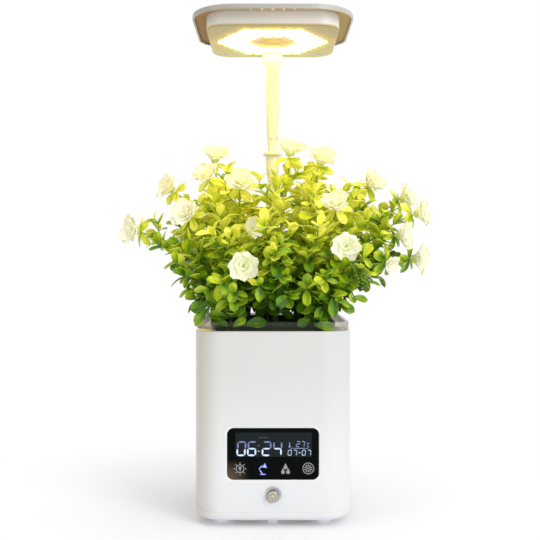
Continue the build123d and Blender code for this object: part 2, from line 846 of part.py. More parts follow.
# ================================================================ planting tray, deck and baskets
skirt_inside = skirt_width - 2 * skirt_wall
with BuildPart() as planting_tray:
    with BuildSketch(Plane.XY.offset(rim_height)):
        RectangleRounded(collar_width, collar_width, collar_corner)
    extrude(amount=collar_height)
    with BuildSketch(Plane.XY.offset(shelf_top)):
        RectangleRounded(collar_inside, collar_inside, collar_corner - collar_wall)
    extrude(amount=collar_top - shelf_top, mode=Mode.SUBTRACT)
    fillet(planting_tray.faces().sort_by(Axis.Z)[-1].edges(), collar_round)
    with BuildSketch(Plane.XY.offset(rim_height - skirt_depth)):
        RectangleRounded(skirt_width, skirt_width, skirt_corner)
    extrude(amount=skirt_depth)
    with BuildSketch(Plane.XY.offset(rim_height - skirt_depth)):
        RectangleRounded(skirt_inside, skirt_inside, skirt_corner - skirt_wall)
    extrude(amount=skirt_depth + shelf_rise, mode=Mode.SUBTRACT)
    with BuildSketch(Plane.XY.offset(shelf_bottom)):
        with Locations((0, deck_middle)):
            RectangleRounded(
                deck_pan_width + 2 * fit_gap,
                deck_pan_depth + 2 * fit_gap,
                deck_pan_corner + fit_gap,
            )
        with Locations((0, pole_y)):
            Circle(pole_radius + soft_gap)
    extrude(amount=shelf_thick, mode=Mode.SUBTRACT)
save(planting_tray, "planting_tray")

basket_points = [place for place, _ in plants.values()]
with BuildPart() as pod_deck:
    with BuildSketch(Plane.XY.offset(deck_bottom)):
        with Locations((0, deck_middle)):
            RectangleRounded(deck_pan_width, deck_pan_depth, deck_pan_corner)
    extrude(amount=shelf_top - deck_bottom)
    with BuildSketch(Plane.XY.offset(shelf_top)):
        with Locations((0, deck_middle)):
            RectangleRounded(deck_width, deck_depth, deck_corner)
    extrude(amount=deck_rim)
    fillet(pod_deck.faces().sort_by(Axis.Z)[-1].edges(), deck_round)
    with BuildSketch(Plane.XY.offset(deck_floor_top)):
        with Locations((0, deck_middle)):
            RectangleRounded(
                deck_pan_width - 2 * deck_wall,
                deck_pan_depth - 2 * deck_wall,
                deck_pan_corner - deck_wall,
            )
    extrude(amount=shelf_top + deck_rim - deck_floor_top, mode=Mode.SUBTRACT)
    with BuildSketch(Plane.XY.offset(deck_bottom)):
        with Locations(*basket_points):
            Circle(basket_radius + fit_gap)
    extrude(amount=deck_floor, mode=Mode.SUBTRACT)
save(pod_deck, "pod_deck")

basket_profile = [
    (0, basket_bottom),
    (basket_foot_radius, basket_bottom),
    (basket_radius, deck_floor_top),
    (basket_flange_radius, deck_floor_top),
    (basket_flange_radius, deck_floor_top + basket_flange_thick),
    (basket_radius - basket_wall, deck_floor_top + basket_flange_thick),
    (basket_foot_radius - basket_wall, basket_bottom + basket_wall),
    (0, basket_bottom + basket_wall),
]
slot_height = basket_depth - 2 * slot_margin
with BuildPart() as net_baskets:
    for place_x, place_y in basket_points:
        with BuildSketch(upright(place_x, place_y)):
            with BuildLine():
                Polyline(*basket_profile, close=True)
            make_face()
        revolve(axis=Axis((place_x, place_y, 0), (0, 0, 1)))
        with BuildSketch(Plane.XY.offset(basket_bottom + slot_margin)):
            with Locations((place_x, place_y)):
                with PolarLocations(basket_radius, basket_slots):
                    Rectangle(2 * (basket_radius - basket_foot_radius + slot_reach), slot_width)
        extrude(amount=slot_height, mode=Mode.SUBTRACT)
save(net_baskets, "net_baskets")

with BuildPart() as grow_sponges:
    with Locations(*[(x, y, sponge_bottom) for x, y in basket_points]):
        Cone(
            basket_foot_radius - basket_wall - soft_gap,
            basket_radius - basket_wall - soft_gap,
            sponge_top - sponge_bottom,
            align=(Align.CENTER, Align.CENTER, Align.MIN),
        )
save(grow_sponges, "grow_sponges")

# ================================================================ plants
far = 2 * pot_width       # beyond the reach of every sprig
share_edge = soft_gap / 2
shares = {
    "plant_front_left": (-far, -front_share - share_edge, -far, back_share - share_edge),
    "plant_front_middle": (
        -front_share + share_edge, front_share - share_edge, -far, back_share - share_edge,
    ),
    "plant_front_right": (front_share + share_edge, far, -far, back_share - share_edge),
    "plant_back_left": (-far, -share_edge, back_share + share_edge, far),
    "plant_back_right": (share_edge, far, back_share + share_edge, far),
}
for name, (place, sprigs) in plants.items():
    low_x, high_x, low_y, high_y = shares[name]
    crown = Vector(place[0], place[1], crown_height)
    with BuildPart() as plant:
        with Locations(crown):
            Sphere(crown_radius)
        for tip_x, tip_y, tip_z, leafy in sprigs:
            reach = Vector(tip_x, tip_y, tip_z)
            along = reach.normalized()
            side = along.cross(Vector(0, 0, 1)).normalized()
            shoulder = leaf_start + leafy * leaf_slope
            outline = [
                (0, 0),
                (twig_radius, 0),
                (twig_radius, leaf_start),
                (leafy * low_swell, shoulder),
                (leafy, (shoulder + reach.length - leafy) / 2),
                (leafy * tip_swell, reach.length - leafy),
                (leafy * tip_point, reach.length),
                (0, reach.length),
            ]
            with BuildSketch(Plane(origin=crown, x_dir=side, z_dir=side.cross(along))):
                with BuildLine():
                    Polyline(*outline, close=True)
                make_face()
            revolve(axis=Axis(crown, along))
        with Locations(((low_x + high_x) / 2, (low_y + high_y) / 2, 0)):
            Box(
                high_x - low_x, high_y - low_y, cap_top,
                align=(Align.CENTER, Align.CENTER, Align.MIN), mode=Mode.INTERSECT,
            )
        with Locations((0, pole_y, 0)):
            Cylinder(
                stop_flange_radius + pole_clear, cap_top,
                align=(Align.CENTER, Align.CENTER, Align.MIN), mode=Mode.SUBTRACT,
            )
        with Locations((place[0], place[1], sponge_top)):
            Cylinder(
                stem_radius, crown_height - sponge_top,
                align=(Align.CENTER, Align.CENTER, Align.MIN),
            )
    save(plant, name)

# ================================================================ telescopic pole
with BuildPart() as pole_socket:
    with BuildSketch(Plane.XY.offset(base_floor_top)):
        with Locations((0, pole_y)):
            Circle(socket_radius)
    extrude(amount=socket_height)
    with BuildSketch(Plane.XY.offset(pole_bottom)):
        with Locations((0, pole_y)):
            Circle(pole_radius + running_gap)
    extrude(amount=socket_height - socket_floor, mode=Mode.SUBTRACT)
    with BuildSketch(Plane.XY.offset(base_floor_top)):
        with Locations((0, pole_y)):
            Circle(pole_screw_radius + screw_gap)
    extrude(amount=socket_floor, mode=Mode.SUBTRACT)
save(pole_socket, "pole_socket")

with BuildPart() as lower_pole:
    with BuildSketch(Plane.XY.offset(pole_bottom)):
        with Locations((0, pole_y)):
            Circle(pole_radius)
            Circle(pole_bore, mode=Mode.SUBTRACT)
    extrude(amount=pole_top - pole_bottom)
save(lower_pole, "lower_pole")

with BuildPart() as pole_plug:
    with BuildSketch(Plane.XY.offset(pole_bottom)):
        with Locations((0, pole_y)):
            Circle(pole_bore - running_gap)
            Circle(pole_screw_radius + screw_gap, mode=Mode.SUBTRACT)
    extrude(amount=plug_height)
save(pole_plug, "pole_plug")

with BuildPart() as pole_screw:
    with BuildSketch(Plane.XY.offset(base_height - pole_head_height)):
        with Locations((0, pole_y)):
            Circle(pole_head_radius)
    extrude(amount=pole_head_height)
    with BuildSketch(Plane.XY.offset(base_height)):
        with Locations((0, pole_y)):
            Circle(pole_screw_radius)
    extrude(amount=base_floor + socket_floor + pole_screw_grip)
save(pole_screw, "pole_screw")

with BuildPart() as guide_bush:
    with BuildSketch(Plane.XY.offset(pole_top)):
        with Locations((0, pole_y)):
            Circle(pole_radius)
    extrude(amount=bush_head)
    fillet(
        guide_bush.edges().group_by(Axis.Z)[-1],
        pole_radius - rod_radius - running_gap - bush_land,
    )
    with BuildSketch(Plane.XY.offset(pole_top - bush_spigot)):
        with Locations((0, pole_y)):
            Circle(pole_bore - running_gap)
    extrude(amount=bush_spigot)
    with BuildSketch(Plane.XY.offset(pole_top - bush_spigot)):
        with Locations((0, pole_y)):
            Circle(rod_radius + running_gap)
    extrude(amount=bush_spigot + bush_head, mode=Mode.SUBTRACT)
save(guide_bush, "guide_bush")

with BuildPart() as inner_rod:
    with BuildSketch(Plane.XY.offset(rod_bottom)):
        with Locations((0, pole_y)):
            Circle(rod_radius)
            Circle(wire_bore, mode=Mode.SUBTRACT)
    extrude(amount=rod_top - rod_bottom)
save(inner_rod, "inner_rod")

with BuildPart() as rod_glide:
    with BuildSketch(Plane.XY.offset(rod_bottom - glide_cap)):
        with Locations((0, pole_y)):
            Circle(pole_bore - running_gap)
    extrude(amount=glide_height)
    with BuildSketch(Plane.XY.offset(rod_bottom)):
        with Locations((0, pole_y)):
            Circle(rod_radius + running_gap)
    extrude(amount=glide_height - glide_cap, mode=Mode.SUBTRACT)
    with BuildSketch(Plane.XY.offset(rod_bottom - glide_cap)):
        with Locations((0, pole_y)):
            Circle(wire_bore)
    extrude(amount=glide_cap, mode=Mode.SUBTRACT)
save(rod_glide, "rod_glide")

stop_profile = [
    (rod_radius + running_gap, stop_bottom),
    (stop_tip_radius, stop_bottom),
    (stop_radius, stop_bottom + stop_taper),
    (stop_radius, stop_flange_bottom),
    (stop_flange_radius, stop_flange_bottom),
    (stop_flange_radius, stop_top),
    (rod_radius + running_gap, stop_top),
]
with BuildPart() as stop_collar:
    with BuildSketch(upright(0, pole_y)):
        with BuildLine():
            Polyline(*stop_profile, close=True)
        make_face()
    revolve(axis=Axis((0, pole_y, 0), (0, 0, 1)))
    flange_edges = stop_collar.edges().filter_by(
        lambda edge: edge.geom_type == GeomType.CIRCLE and edge.radius > stop_flange_radius - same_size
    )
    fillet(flange_edges, stop_flange_round)
save(stop_collar, "stop_collar")

mast_profile = [
    (rod_radius + running_gap, mast_bottom),
    (mast_tip_radius, mast_bottom),
    (mast_radius, mast_bottom + mast_taper),
    (mast_radius, mast_top),
    (wire_bore, mast_top),
    (wire_bore, rod_top + running_gap),
    (rod_radius + running_gap, rod_top + running_gap),
]
with BuildPart() as mast_tube:
    with BuildSketch(upright(0, pole_y)):
        with BuildLine():
            Polyline(*mast_profile, close=True)
        make_face()
    revolve(axis=Axis((0, pole_y, 0), (0, 0, 1)))
save(mast_tube, "mast_tube")

neck_top = floor_inside + nut_thick
neck_profile = [
    (wire_bore, mast_top),
    (mast_radius, mast_top),
    (neck_radius, mast_top + neck_taper),
    (neck_radius, housing_bottom),
    (neck_spigot, housing_bottom),
    (neck_spigot, neck_top),
    (wire_bore, neck_top),
]
with BuildPart() as lamp_neck:
    with BuildSketch(upright(0, pole_y)):
        with BuildLine():
            Polyline(*neck_profile, close=True)
        make_face()
    revolve(axis=Axis((0, pole_y, 0), (0, 0, 1)))
    shoulder = lamp_neck.edges().filter_by(
        lambda edge: edge.geom_type == GeomType.CIRCLE and edge.radius > neck_radius - same_size
    )
    fillet(shoulder.sort_by(Axis.Z)[0], neck_round)
save(lamp_neck, "lamp_neck")

with BuildPart() as neck_nut:
    with BuildSketch(Plane.XY.offset(floor_inside)):
        with Locations((0, pole_y)):
            RegularPolygon(nut_radius, nut_flats)
            Circle(neck_spigot + screw_gap, mode=Mode.SUBTRACT)
    extrude(amount=nut_thick)
save(neck_nut, "neck_nut")

# ================================================================ lamp head
led_points = [
    (x, y)
    for x, y in hex_ring_points(led_inner_ring, led_outer_ring, led_pitch)
    if hypot(x, lamp_middle + y - pole_y) > neck_keepout + led_lens_radius
]
with BuildPart() as lamp_housing:
    with BuildSketch(Plane.XY.offset(housing_bottom)):
        with Locations((0, housing_middle)):
            RectangleRounded(housing_width, housing_depth, housing_corner)
    extrude(amount=housing_height)
    fillet(lamp_housing.faces().sort_by(Axis.Z)[0].edges(), housing_round)
    with BuildSketch(Plane.XY.offset(floor_inside)):
        with Locations((0, housing_middle)):
            RectangleRounded(
                housing_width - 2 * housing_wall,
                housing_depth - 2 * housing_wall,
                housing_corner - housing_wall,
            )
    extrude(amount=housing_height - housing_floor, mode=Mode.SUBTRACT)
    with BuildSketch(Plane.XY.offset(floor_inside)):
        with Locations((0, housing_middle)):
            with GridLocations(boss_across, boss_along, 2, 2):
                Circle(head_boss_radius)
    extrude(amount=housing_height - housing_floor)
    with BuildSketch(Plane.XY.offset(housing_bottom)) as light_window:
        with Locations((0, lamp_middle)):
            RegularPolygon(sheet_radius + fit_gap, 6)
        with Locations((0, pole_y)):
            Circle(neck_keepout - fit_gap, mode=Mode.SUBTRACT)
            Circle(neck_spigot + screw_gap)
    extrude(amount=housing_floor, mode=Mode.SUBTRACT)
    with BuildSketch(Plane.XY.offset(housing_bottom)):
        with Locations((0, housing_middle)):
            with GridLocations(boss_across, boss_along, 2, 2):
                Circle(head_screw_radius + screw_gap)
    extrude(amount=housing_height, mode=Mode.SUBTRACT)
    with BuildSketch(Plane.XY.offset(housing_bottom)):
        with Locations((0, housing_middle)):
            with GridLocations(boss_across, boss_along, 2, 2):
                Circle(head_head_radius + screw_gap)
    extrude(amount=head_head_height, mode=Mode.SUBTRACT)
    with BuildSketch(Plane.XY.offset(floor_inside)):
        with Locations((0, lamp_middle)):
            with PolarLocations(led_board_radius - standoff_radius, 2, start_angle=0):
                Circle(standoff_radius)
    extrude(amount=board_air)
save(lamp_housing, "lamp_housing")

with BuildPart() as lens_sheet:
    with BuildSketch(Plane.XY.offset(housing_bottom)):
        with Locations((0, lamp_middle)):
            RegularPolygon(sheet_radius, 6)
            RegularPolygon(hub_radius, 6, mode=Mode.SUBTRACT)
        with Locations((0, pole_y)):
            Circle(neck_keepout, mode=Mode.SUBTRACT)
    extrude(amount=housing_floor)
    with BuildSketch(Plane.XY.offset(housing_bottom)):
        with Locations((0, lamp_middle)):
            with Locations(*led_points):
                Circle(led_lens_radius)
    extrude(amount=-led_lens_drop)
save(lens_sheet, "lens_sheet")

with BuildPart() as led_board:
    with BuildSketch(Plane.XY.offset(led_board_bottom)):
        with Locations((0, lamp_middle)):
            RegularPolygon(led_board_radius, 6)
            Circle(fan_bore, mode=Mode.SUBTRACT)
        with Locations((0, pole_y)):
            Circle(neck_keepout, mode=Mode.SUBTRACT)
    extrude(amount=led_board_thick)
    with BuildSketch(Plane.XY.offset(led_board_bottom)):
        with Locations((0, lamp_middle)):
            with Locations(*led_points):
                Rectangle(led_chip, led_chip)
    extrude(amount=-led_chip_height)
save(led_board, "led_board")

with BuildPart() as heat_sink:
    with BuildSketch(Plane.XY.offset(led_board_top)):
        with Locations((0, lamp_middle)):
            RegularPolygon(led_board_radius, 6)
            Circle(fan_bore, mode=Mode.SUBTRACT)
        with Locations((0, pole_y)):
            Circle(neck_keepout, mode=Mode.SUBTRACT)
    extrude(amount=sink_plate)
    with BuildSketch(Plane.XY.offset(sink_top)):
        for side in (-1, 1):
            for fin in range(fin_pairs):
                fin_x = fan_size / 2 + fin_fan_gap + fin_thick / 2 + fin_pitch * fin
                fin_length = 2 * sqrt(3) * (led_board_radius - fin_x) - 2 * fin_margin
                fin_limit = sqrt(3) * led_board_radius - 2 * fin_margin
                with Locations((side * fin_x, lamp_middle)):
                    Rectangle(fin_thick, min(fin_length, fin_limit))
    extrude(amount=sink_fin)
save(heat_sink, "heat_sink")

with BuildPart() as fan_frame:
    with BuildSketch(Plane.XY.offset(sink_top)):
        with Locations((0, lamp_middle)):
            RectangleRounded(fan_size, fan_size, fan_corner)
            Circle(fan_bore, mode=Mode.SUBTRACT)
    extrude(amount=fan_height)
    with BuildSketch(Plane.XY.offset(fan_top - fan_floor)):
        with Locations((0, lamp_middle)):
            Circle(fan_hub_radius)
            with PolarLocations(fan_bore / 2, fan_spokes):
                Rectangle(fan_bore + spoke_width, spoke_width)
    extrude(amount=fan_floor)
    with BuildSketch(Plane.XY.offset(fan_top - fan_floor)):
        with Locations((0, lamp_middle)):
            Circle(fan_pin_radius)
    extrude(amount=-fan_pin_height)
save(fan_frame, "fan_frame")

rotor_top = fan_top - fan_floor - fit_gap
rotor_height = rotor_top - sink_top - fit_gap
fan_blade_radius = fan_bore - fan_blade_gap
with BuildPart() as fan_rotor:
    with BuildSketch(Plane.XY.offset(rotor_top)):
        with Locations((0, lamp_middle)):
            Circle(fan_hub_radius)
    extrude(amount=-rotor_height)
    for blade in range(fan_blades):
        angle = 360 / fan_blades * blade
        blade_middle = (fan_hub_radius - blade_root + fan_blade_radius) / 2
        blade_place = Location(
            (
                blade_middle * cos(radians(angle)),
                lamp_middle + blade_middle * sin(radians(angle)),
                rotor_top - rotor_height / 2,
            ),
            (0, 0, angle),
        )
        with Locations(blade_place):
            with Locations(Location((0, 0, 0), (blade_angle, 0, 0))):
                Box(
                    fan_blade_radius - fan_hub_radius + blade_root,
                    rotor_height - blade_thick,
                    blade_thick,
                )
    with BuildSketch(Plane.XY.offset(rotor_top)):
        with Locations((0, lamp_middle)):
            Circle(fan_pin_radius + running_gap)
    extrude(amount=-(fan_pin_height), mode=Mode.SUBTRACT)
save(fan_rotor, "fan_rotor")

with BuildPart() as fan_grille:
    with BuildSketch(Plane.XY.offset(housing_bottom)):
        with Locations((0, lamp_middle)):
            RegularPolygon(hub_radius - fit_gap, 6)
            for slot in range(grille_slots):
                slot_y = (slot - (grille_slots - 1) / 2) * grille_slot_pitch
                slot_length = 2 * (hub_radius - abs(slot_y) / sqrt(3) - grille_rim)
                with Locations((0, slot_y)):
                    SlotOverall(slot_length, grille_slot_width, mode=Mode.SUBTRACT)
    extrude(amount=housing_floor)
    with BuildSketch(Plane.XY.offset(floor_inside)):
        with Locations((0, lamp_middle)):
            with PolarLocations(grille_post_ring, 2, start_angle=90):
                Circle(grille_post_radius)
    extrude(amount=board_air)
save(fan_grille, "fan_grille")

liner_width = cap_width - 2 * cap_wall - 2 * fit_gap
liner_depth = cap_depth - 2 * cap_wall - 2 * fit_gap
with BuildPart() as cap_liner:
    with BuildSketch(Plane.XY.offset(housing_top)) as liner_plan:
        with Locations((0, cap_middle)):
            Rectangle(liner_width, liner_depth)
        fillet(liner_plan.vertices().group_by(Axis.Y)[0], cap_front_corner - cap_wall - fit_gap)
        fillet(liner_plan.vertices().group_by(Axis.Y)[-1], cap_back_corner - cap_wall - fit_gap)
        with Locations((0, housing_middle)):
            RectangleRounded(
                housing_width - 2 * liner_margin,
                housing_depth - 2 * liner_margin,
                housing_corner - liner_margin,
                mode=Mode.SUBTRACT,
            )
        with Locations((0, vent_y)):
            with GridLocations(vent_pitch, 1, vent_count, 1):
                Circle(vent_radius, mode=Mode.SUBTRACT)
    extrude(amount=liner_thick)
save(cap_liner, "cap_liner")

with BuildPart() as lamp_cap:
    with BuildSketch(Plane.XY.offset(lip_bottom)) as cap_plan:
        with Locations((0, cap_middle)):
            Rectangle(cap_width, cap_depth)
        fillet(cap_plan.vertices().group_by(Axis.Y)[0], cap_front_corner)
        fillet(cap_plan.vertices().group_by(Axis.Y)[-1], cap_back_corner)
    extrude(amount=cap_top - lip_bottom)
    fillet(lamp_cap.faces().sort_by(Axis.Z)[-1].edges(), cap_round)
    with BuildSketch(Plane.XY.offset(lip_bottom)) as cap_hollow:
        with Locations((0, cap_middle)):
            Rectangle(cap_width - 2 * cap_wall, cap_depth - 2 * cap_wall)
        fillet(cap_hollow.vertices().group_by(Axis.Y)[0], cap_front_corner - cap_wall)
        fillet(cap_hollow.vertices().group_by(Axis.Y)[-1], cap_back_corner - cap_wall)
    extrude(amount=cap_inside - lip_bottom, mode=Mode.SUBTRACT)
    with BuildSketch(Plane.XY.offset(housing_top)):
        with Locations((0, housing_middle)):
            with GridLocations(boss_across, boss_along, 2, 2):
                Circle(head_boss_radius)
    extrude(amount=cap_inside - housing_top)
    with BuildSketch(Plane.XY.offset(housing_top)):
        with Locations((0, housing_middle)):
            with GridLocations(boss_across, boss_along, 2, 2):
                Circle(head_screw_radius + screw_gap)
    extrude(amount=cap_inside - housing_top, mode=Mode.SUBTRACT)
save(lamp_cap, "lamp_cap")

with BuildPart() as head_screws:
    with BuildSketch(Plane.XY.offset(housing_bottom)):
        with Locations((0, housing_middle)):
            with GridLocations(boss_across, boss_along, 2, 2):
                Circle(head_head_radius)
    extrude(amount=head_head_height)
    with BuildSketch(Plane.XY.offset(housing_bottom)):
        with Locations((0, housing_middle)):
            with GridLocations(boss_across, boss_along, 2, 2):
                Circle(head_screw_radius)
    extrude(amount=cap_inside - housing_bottom - fit_gap)
save(head_screws, "head_screws")
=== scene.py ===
import random
from math import cos, pi, radians, sin

import bmesh
import bpy
from mathutils import Matrix, Vector


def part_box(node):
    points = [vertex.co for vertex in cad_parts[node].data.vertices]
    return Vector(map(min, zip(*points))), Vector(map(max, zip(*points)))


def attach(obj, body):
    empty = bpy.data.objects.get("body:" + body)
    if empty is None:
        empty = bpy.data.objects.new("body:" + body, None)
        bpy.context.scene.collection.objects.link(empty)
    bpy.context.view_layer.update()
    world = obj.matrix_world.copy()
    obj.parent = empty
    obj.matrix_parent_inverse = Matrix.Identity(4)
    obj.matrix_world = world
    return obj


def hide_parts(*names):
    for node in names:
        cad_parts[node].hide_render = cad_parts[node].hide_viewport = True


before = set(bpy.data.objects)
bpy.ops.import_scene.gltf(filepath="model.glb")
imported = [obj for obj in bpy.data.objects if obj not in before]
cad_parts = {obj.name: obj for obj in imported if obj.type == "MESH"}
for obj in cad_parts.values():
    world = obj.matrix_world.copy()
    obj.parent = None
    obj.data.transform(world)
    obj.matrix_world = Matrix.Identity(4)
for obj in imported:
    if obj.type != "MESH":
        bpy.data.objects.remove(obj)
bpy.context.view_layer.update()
MM = 0.001

# ---------------------------------------------------------------- sizes and places, in metres
POLE_Y = sum(corner.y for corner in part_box("lower_pole")) / 2
SHELL_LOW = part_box("outer_shell")[0]
LENS_LOW, LENS_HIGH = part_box("display_lens")
LENS_CORNER = 5.7 * MM
BUTTON_LOW, BUTTON_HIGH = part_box("control_button")
COLLAR_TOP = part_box("planting_tray")[1].z
SPONGE_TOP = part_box("grow_sponges")[1].z
HOUSING_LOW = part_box("lamp_housing")[0]
PANEL_LOW, PANEL_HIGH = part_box("lens_sheet")
LINER_LOW, LINER_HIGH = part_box("cap_liner")
CAP_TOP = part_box("lamp_cap")[1].z


# ---------------------------------------------------------------- shader maths
class Value:
    """A number that changes over a surface: a socket with Python's operators."""

    def __init__(self, tree, socket):
        self.tree = tree
        self.socket = socket

    def math(self, operation, *others, clamp=False):
        node = self.tree.node(
            "ShaderNodeMath", {"operation": operation, "use_clamp": clamp},
            dict(enumerate([self, *others])),
        )
        return Value(self.tree, node.outputs[0])

    def __add__(self, other):
        return self.math("ADD", other)

    def __sub__(self, other):
        return self.math("SUBTRACT", other)

    def __rsub__(self, other):
        return (self * -1).math("ADD", other)

    def __mul__(self, other):
        return self.math("MULTIPLY", other)

    __radd__ = __add__
    __rmul__ = __mul__

    def __truediv__(self, other):
        return self.math("DIVIDE", other)

    def __abs__(self):
        return self.math("ABSOLUTE")

    def limit(self):
        """The value kept from 0 to 1."""
        return self.math("ADD", 0, clamp=True)

    def rise(self, start, end):
        """0 below start, 1 above end, and a smooth step between."""
        node = self.tree.node(
            "ShaderNodeMapRange", {"interpolation_type": "SMOOTHSTEP"},
            {"Value": self, "From Min": start, "From Max": end, "To Min": 0, "To Max": 1},
        )
        return Value(self.tree, node.outputs["Result"])

    def fall(self, start, end):
        """1 below start, 0 above end, and a smooth step between."""
        return 1 - self.rise(start, end)


def distance(x, y):
    """How far a point lies from the middle that x and y are measured from."""
    return (x * x + y * y).math("SQRT")


class Tree:
    """The shader nodes of a material or of the world."""

    def __init__(self, tree):
        self.nodes = tree.nodes
        self.links = tree.links

    def node(self, kind, settings=None, inputs=None):
        """Adds a node; settings are set first, then the values or links of its sockets."""
        node = self.nodes.new(kind)
        for key, value in (settings or {}).items():
            if key == "stops":
                for _ in range(len(value) - 2):
                    node.color_ramp.elements.new(0.5)
                for element, (place, color) in zip(node.color_ramp.elements, value):
                    element.position = place
                    element.color = (*color, 1)
            else:
                setattr(node, key, value)
        for key, value in (inputs or {}).items():
            self.feed(node.inputs[key], value)
        return node

    def feed(self, socket, value):
        """Links or sets a socket."""
        if isinstance(value, Value):
            self.links.new(value.socket, socket)
        elif isinstance(value, bpy.types.NodeSocket):
            self.links.new(value, socket)
        elif isinstance(value, tuple) and len(value) == 3 and socket.type == "RGBA":
            socket.default_value = (*value, 1)
        else:
            socket.default_value = value

    def seen(self):
        """1 where the camera sees a point straight, in a gloss or through a clear piece."""
        outputs = self.node("ShaderNodeLightPath").outputs
        rays = [Value(self, outputs[f"Is {ray} Ray"]) for ray in ("Camera", "Glossy", "Transmission")]
        return (rays[0] + rays[1] + rays[2]).limit()


class Finish(Tree):
    """A material and its Principled shader; settings are the shader's other values by name."""

    def __init__(self, name, color, **settings):
        self.material = bpy.data.materials.new(name)
        self.material.use_nodes = True
        super().__init__(self.material.node_tree)
        self.shader = self.nodes["Principled BSDF"]
        self.shader.inputs["Base Color"].default_value = (*color, 1)
        for key, value in settings.items():
            self.shader.inputs[key.replace("_", " ").title().replace("Ior", "IOR")].default_value = value

    def coordinates(self, kind):
        here = self.node("ShaderNodeTexCoord").outputs[kind]
        split = self.node("ShaderNodeSeparateXYZ", None, {0: here})
        return [Value(self, output) for output in split.outputs]

    def place(self):
        """The point on the piece, in metres: across, along and up."""
        return self.coordinates("Object")

    def place_on_blade(self):
        """How far across and along its leaf or petal a point lies, from 0 to 1."""
        return self.coordinates("UV")[:2]

    def tint(self):
        """What each leaf or petal has of its own, from 0 to 1."""
        node = self.node("ShaderNodeAttribute", {"attribute_name": "tint"})
        return Value(self, node.outputs["Fac"])

    def noise(self, scale, detail=3.0, roughness=0.5, stretch=(1, 1, 1)):
        """Noise from 0 to 1, with scale in patches per metre."""
        here = self.node("ShaderNodeTexCoord").outputs["Object"]
        turned = self.node("ShaderNodeMapping", None, {"Vector": here, "Scale": stretch})
        node = self.node(
            "ShaderNodeTexNoise", None,
            {"Vector": turned.outputs[0], "Scale": scale, "Detail": detail, "Roughness": roughness},
        )
        return Value(self, node.outputs[0])

    def blend(self, share, low, high):
        """A colour between two colours or links."""
        node = self.node("ShaderNodeMix", {"data_type": "RGBA"}, {0: share, 6: low, 7: high})
        return node.outputs[2]

    def color(self, value):
        self.feed(self.shader.inputs["Base Color"], value)

    def glow(self, color, strength=1.0):
        self.feed(self.shader.inputs["Emission Color"], color)
        self.shader.inputs["Emission Strength"].default_value = strength

    def roughness(self, value):
        self.feed(self.shader.inputs["Roughness"], value)

    def bump(self, height, depth):
        """Raises the surface by height times depth, in metres."""
        node = self.node("ShaderNodeBump", None, {"Height": height, "Distance": depth, "Strength": 1.0})
        self.feed(self.shader.inputs["Normal"], node.outputs[0])

    def skin(self, rough, patches=90, grain=1300, depth=0.03 * MM):
        """A moulded surface: an uneven gloss and a fine grain, in patches per metre."""
        self.roughness(rough + 0.10 * (self.noise(patches) - 0.5))
        self.bump(self.noise(grain, 2), depth)


def moulded(name, color, rough, grain=900, depth=0.04 * MM, shade=0.04, **settings):
    """Moulded plastic with a faint mottle."""
    finish = Finish(name, color, **settings)
    darker = tuple(channel * (1 - shade) for channel in color)
    finish.color(finish.blend(finish.noise(22, 4), darker, color))
    finish.skin(rough, 70, grain, depth)
    return finish


def brushed(name, color, rough, stretch=(1, 1, 1)):
    """Metal with fine marks, along one way where they are stretched."""
    finish = Finish(name, color, metallic=1.0)
    marks = finish.noise(900, 2, 0.6, stretch)
    finish.color(finish.blend(marks, tuple(channel * 0.8 for channel in color), color))
    finish.roughness(rough + 0.18 * (marks - 0.5))
    finish.bump(marks, 0.03 * MM)
    return finish


# ---------------------------------------------------------------- finishes of the pot
WINDOW_MIDDLE = (0.7 * MM, 76.2 * MM)     # the liquid crystal's grey window, across and up
WINDOW_HALF = (35.0 * MM, 11.3 * MM)
COLLAR_SIDE = 50 * MM                     # where the tray's sides and corners begin


def outside(across, up, low, high, corner):
    """Distance outside a rounded rectangle that lies in the XZ plane."""
    x = (abs(across - (low.x + high.x) / 2) - ((high.x - low.x) / 2 - corner)).math("MAXIMUM", 0.0)
    z = (abs(up - (low.z + high.z) / 2) - ((high.z - low.z) / 2 - corner)).math("MAXIMUM", 0.0)
    return distance(x, z) - corner


def from_button(across, up):
    """Across and up from the button's axis."""
    return across - (BUTTON_LOW.x + BUTTON_HIGH.x) / 2, up - (BUTTON_LOW.z + BUTTON_HIGH.z) / 2


def shell_finish():
    """Gloss white shell: painted shade makes it greyer towards its rim and darker, warmer to
    its left, with a painted highlight round the lens and a painted blue-grey shade in the button's dish."""
    finish = Finish("white_shell", (0.72, 0.72, 0.71))
    across, along, up = finish.place()
    mottle = finish.noise(9, 1)
    # Painted light and shade: brighter and bluer low down, greyer high up.
    low = finish.blend(mottle, (0.775, 0.79, 0.81), (0.78, 0.795, 0.815))
    high = finish.blend(mottle, (0.655, 0.66, 0.65), (0.66, 0.665, 0.655))
    body = finish.blend(up.rise(30 * MM, 160 * MM), low, high)
    # Painted shade: the left side darker and warmer, away from the key light.
    left = across.fall(SHELL_LOW.x - 2 * MM, SHELL_LOW.x + 26 * MM)
    body = finish.blend(left * 0.72, body, (0.58, 0.53, 0.44))
    front = along.fall(SHELL_LOW.y + 0.5 * MM, SHELL_LOW.y + 3 * MM)
    # Painted highlight: a bright line round the lens where its edge catches the light.
    rim = outside(across, up, LENS_LOW, LENS_HIGH, LENS_CORNER).fall(-1.2 * MM, -0.6 * MM)
    body = finish.blend(rim * front, body, (0.97, 0.97, 0.97))
    x, z = from_button(across, up)
    # Painted shade: blue-grey in the upper left of the button's dish.
    dish = distance(x, z).fall(7.2 * MM, 9.0 * MM) * front * (z + 0.3 * x).rise(-4 * MM, 8 * MM)
    finish.color(finish.blend(dish * 0.8, body, (0.56, 0.60, 0.70)))
    finish.roughness(0.30 + 0.02 * finish.noise(12, 1))
    finish.bump(finish.noise(1400, 2), 0.01 * MM)
    return finish


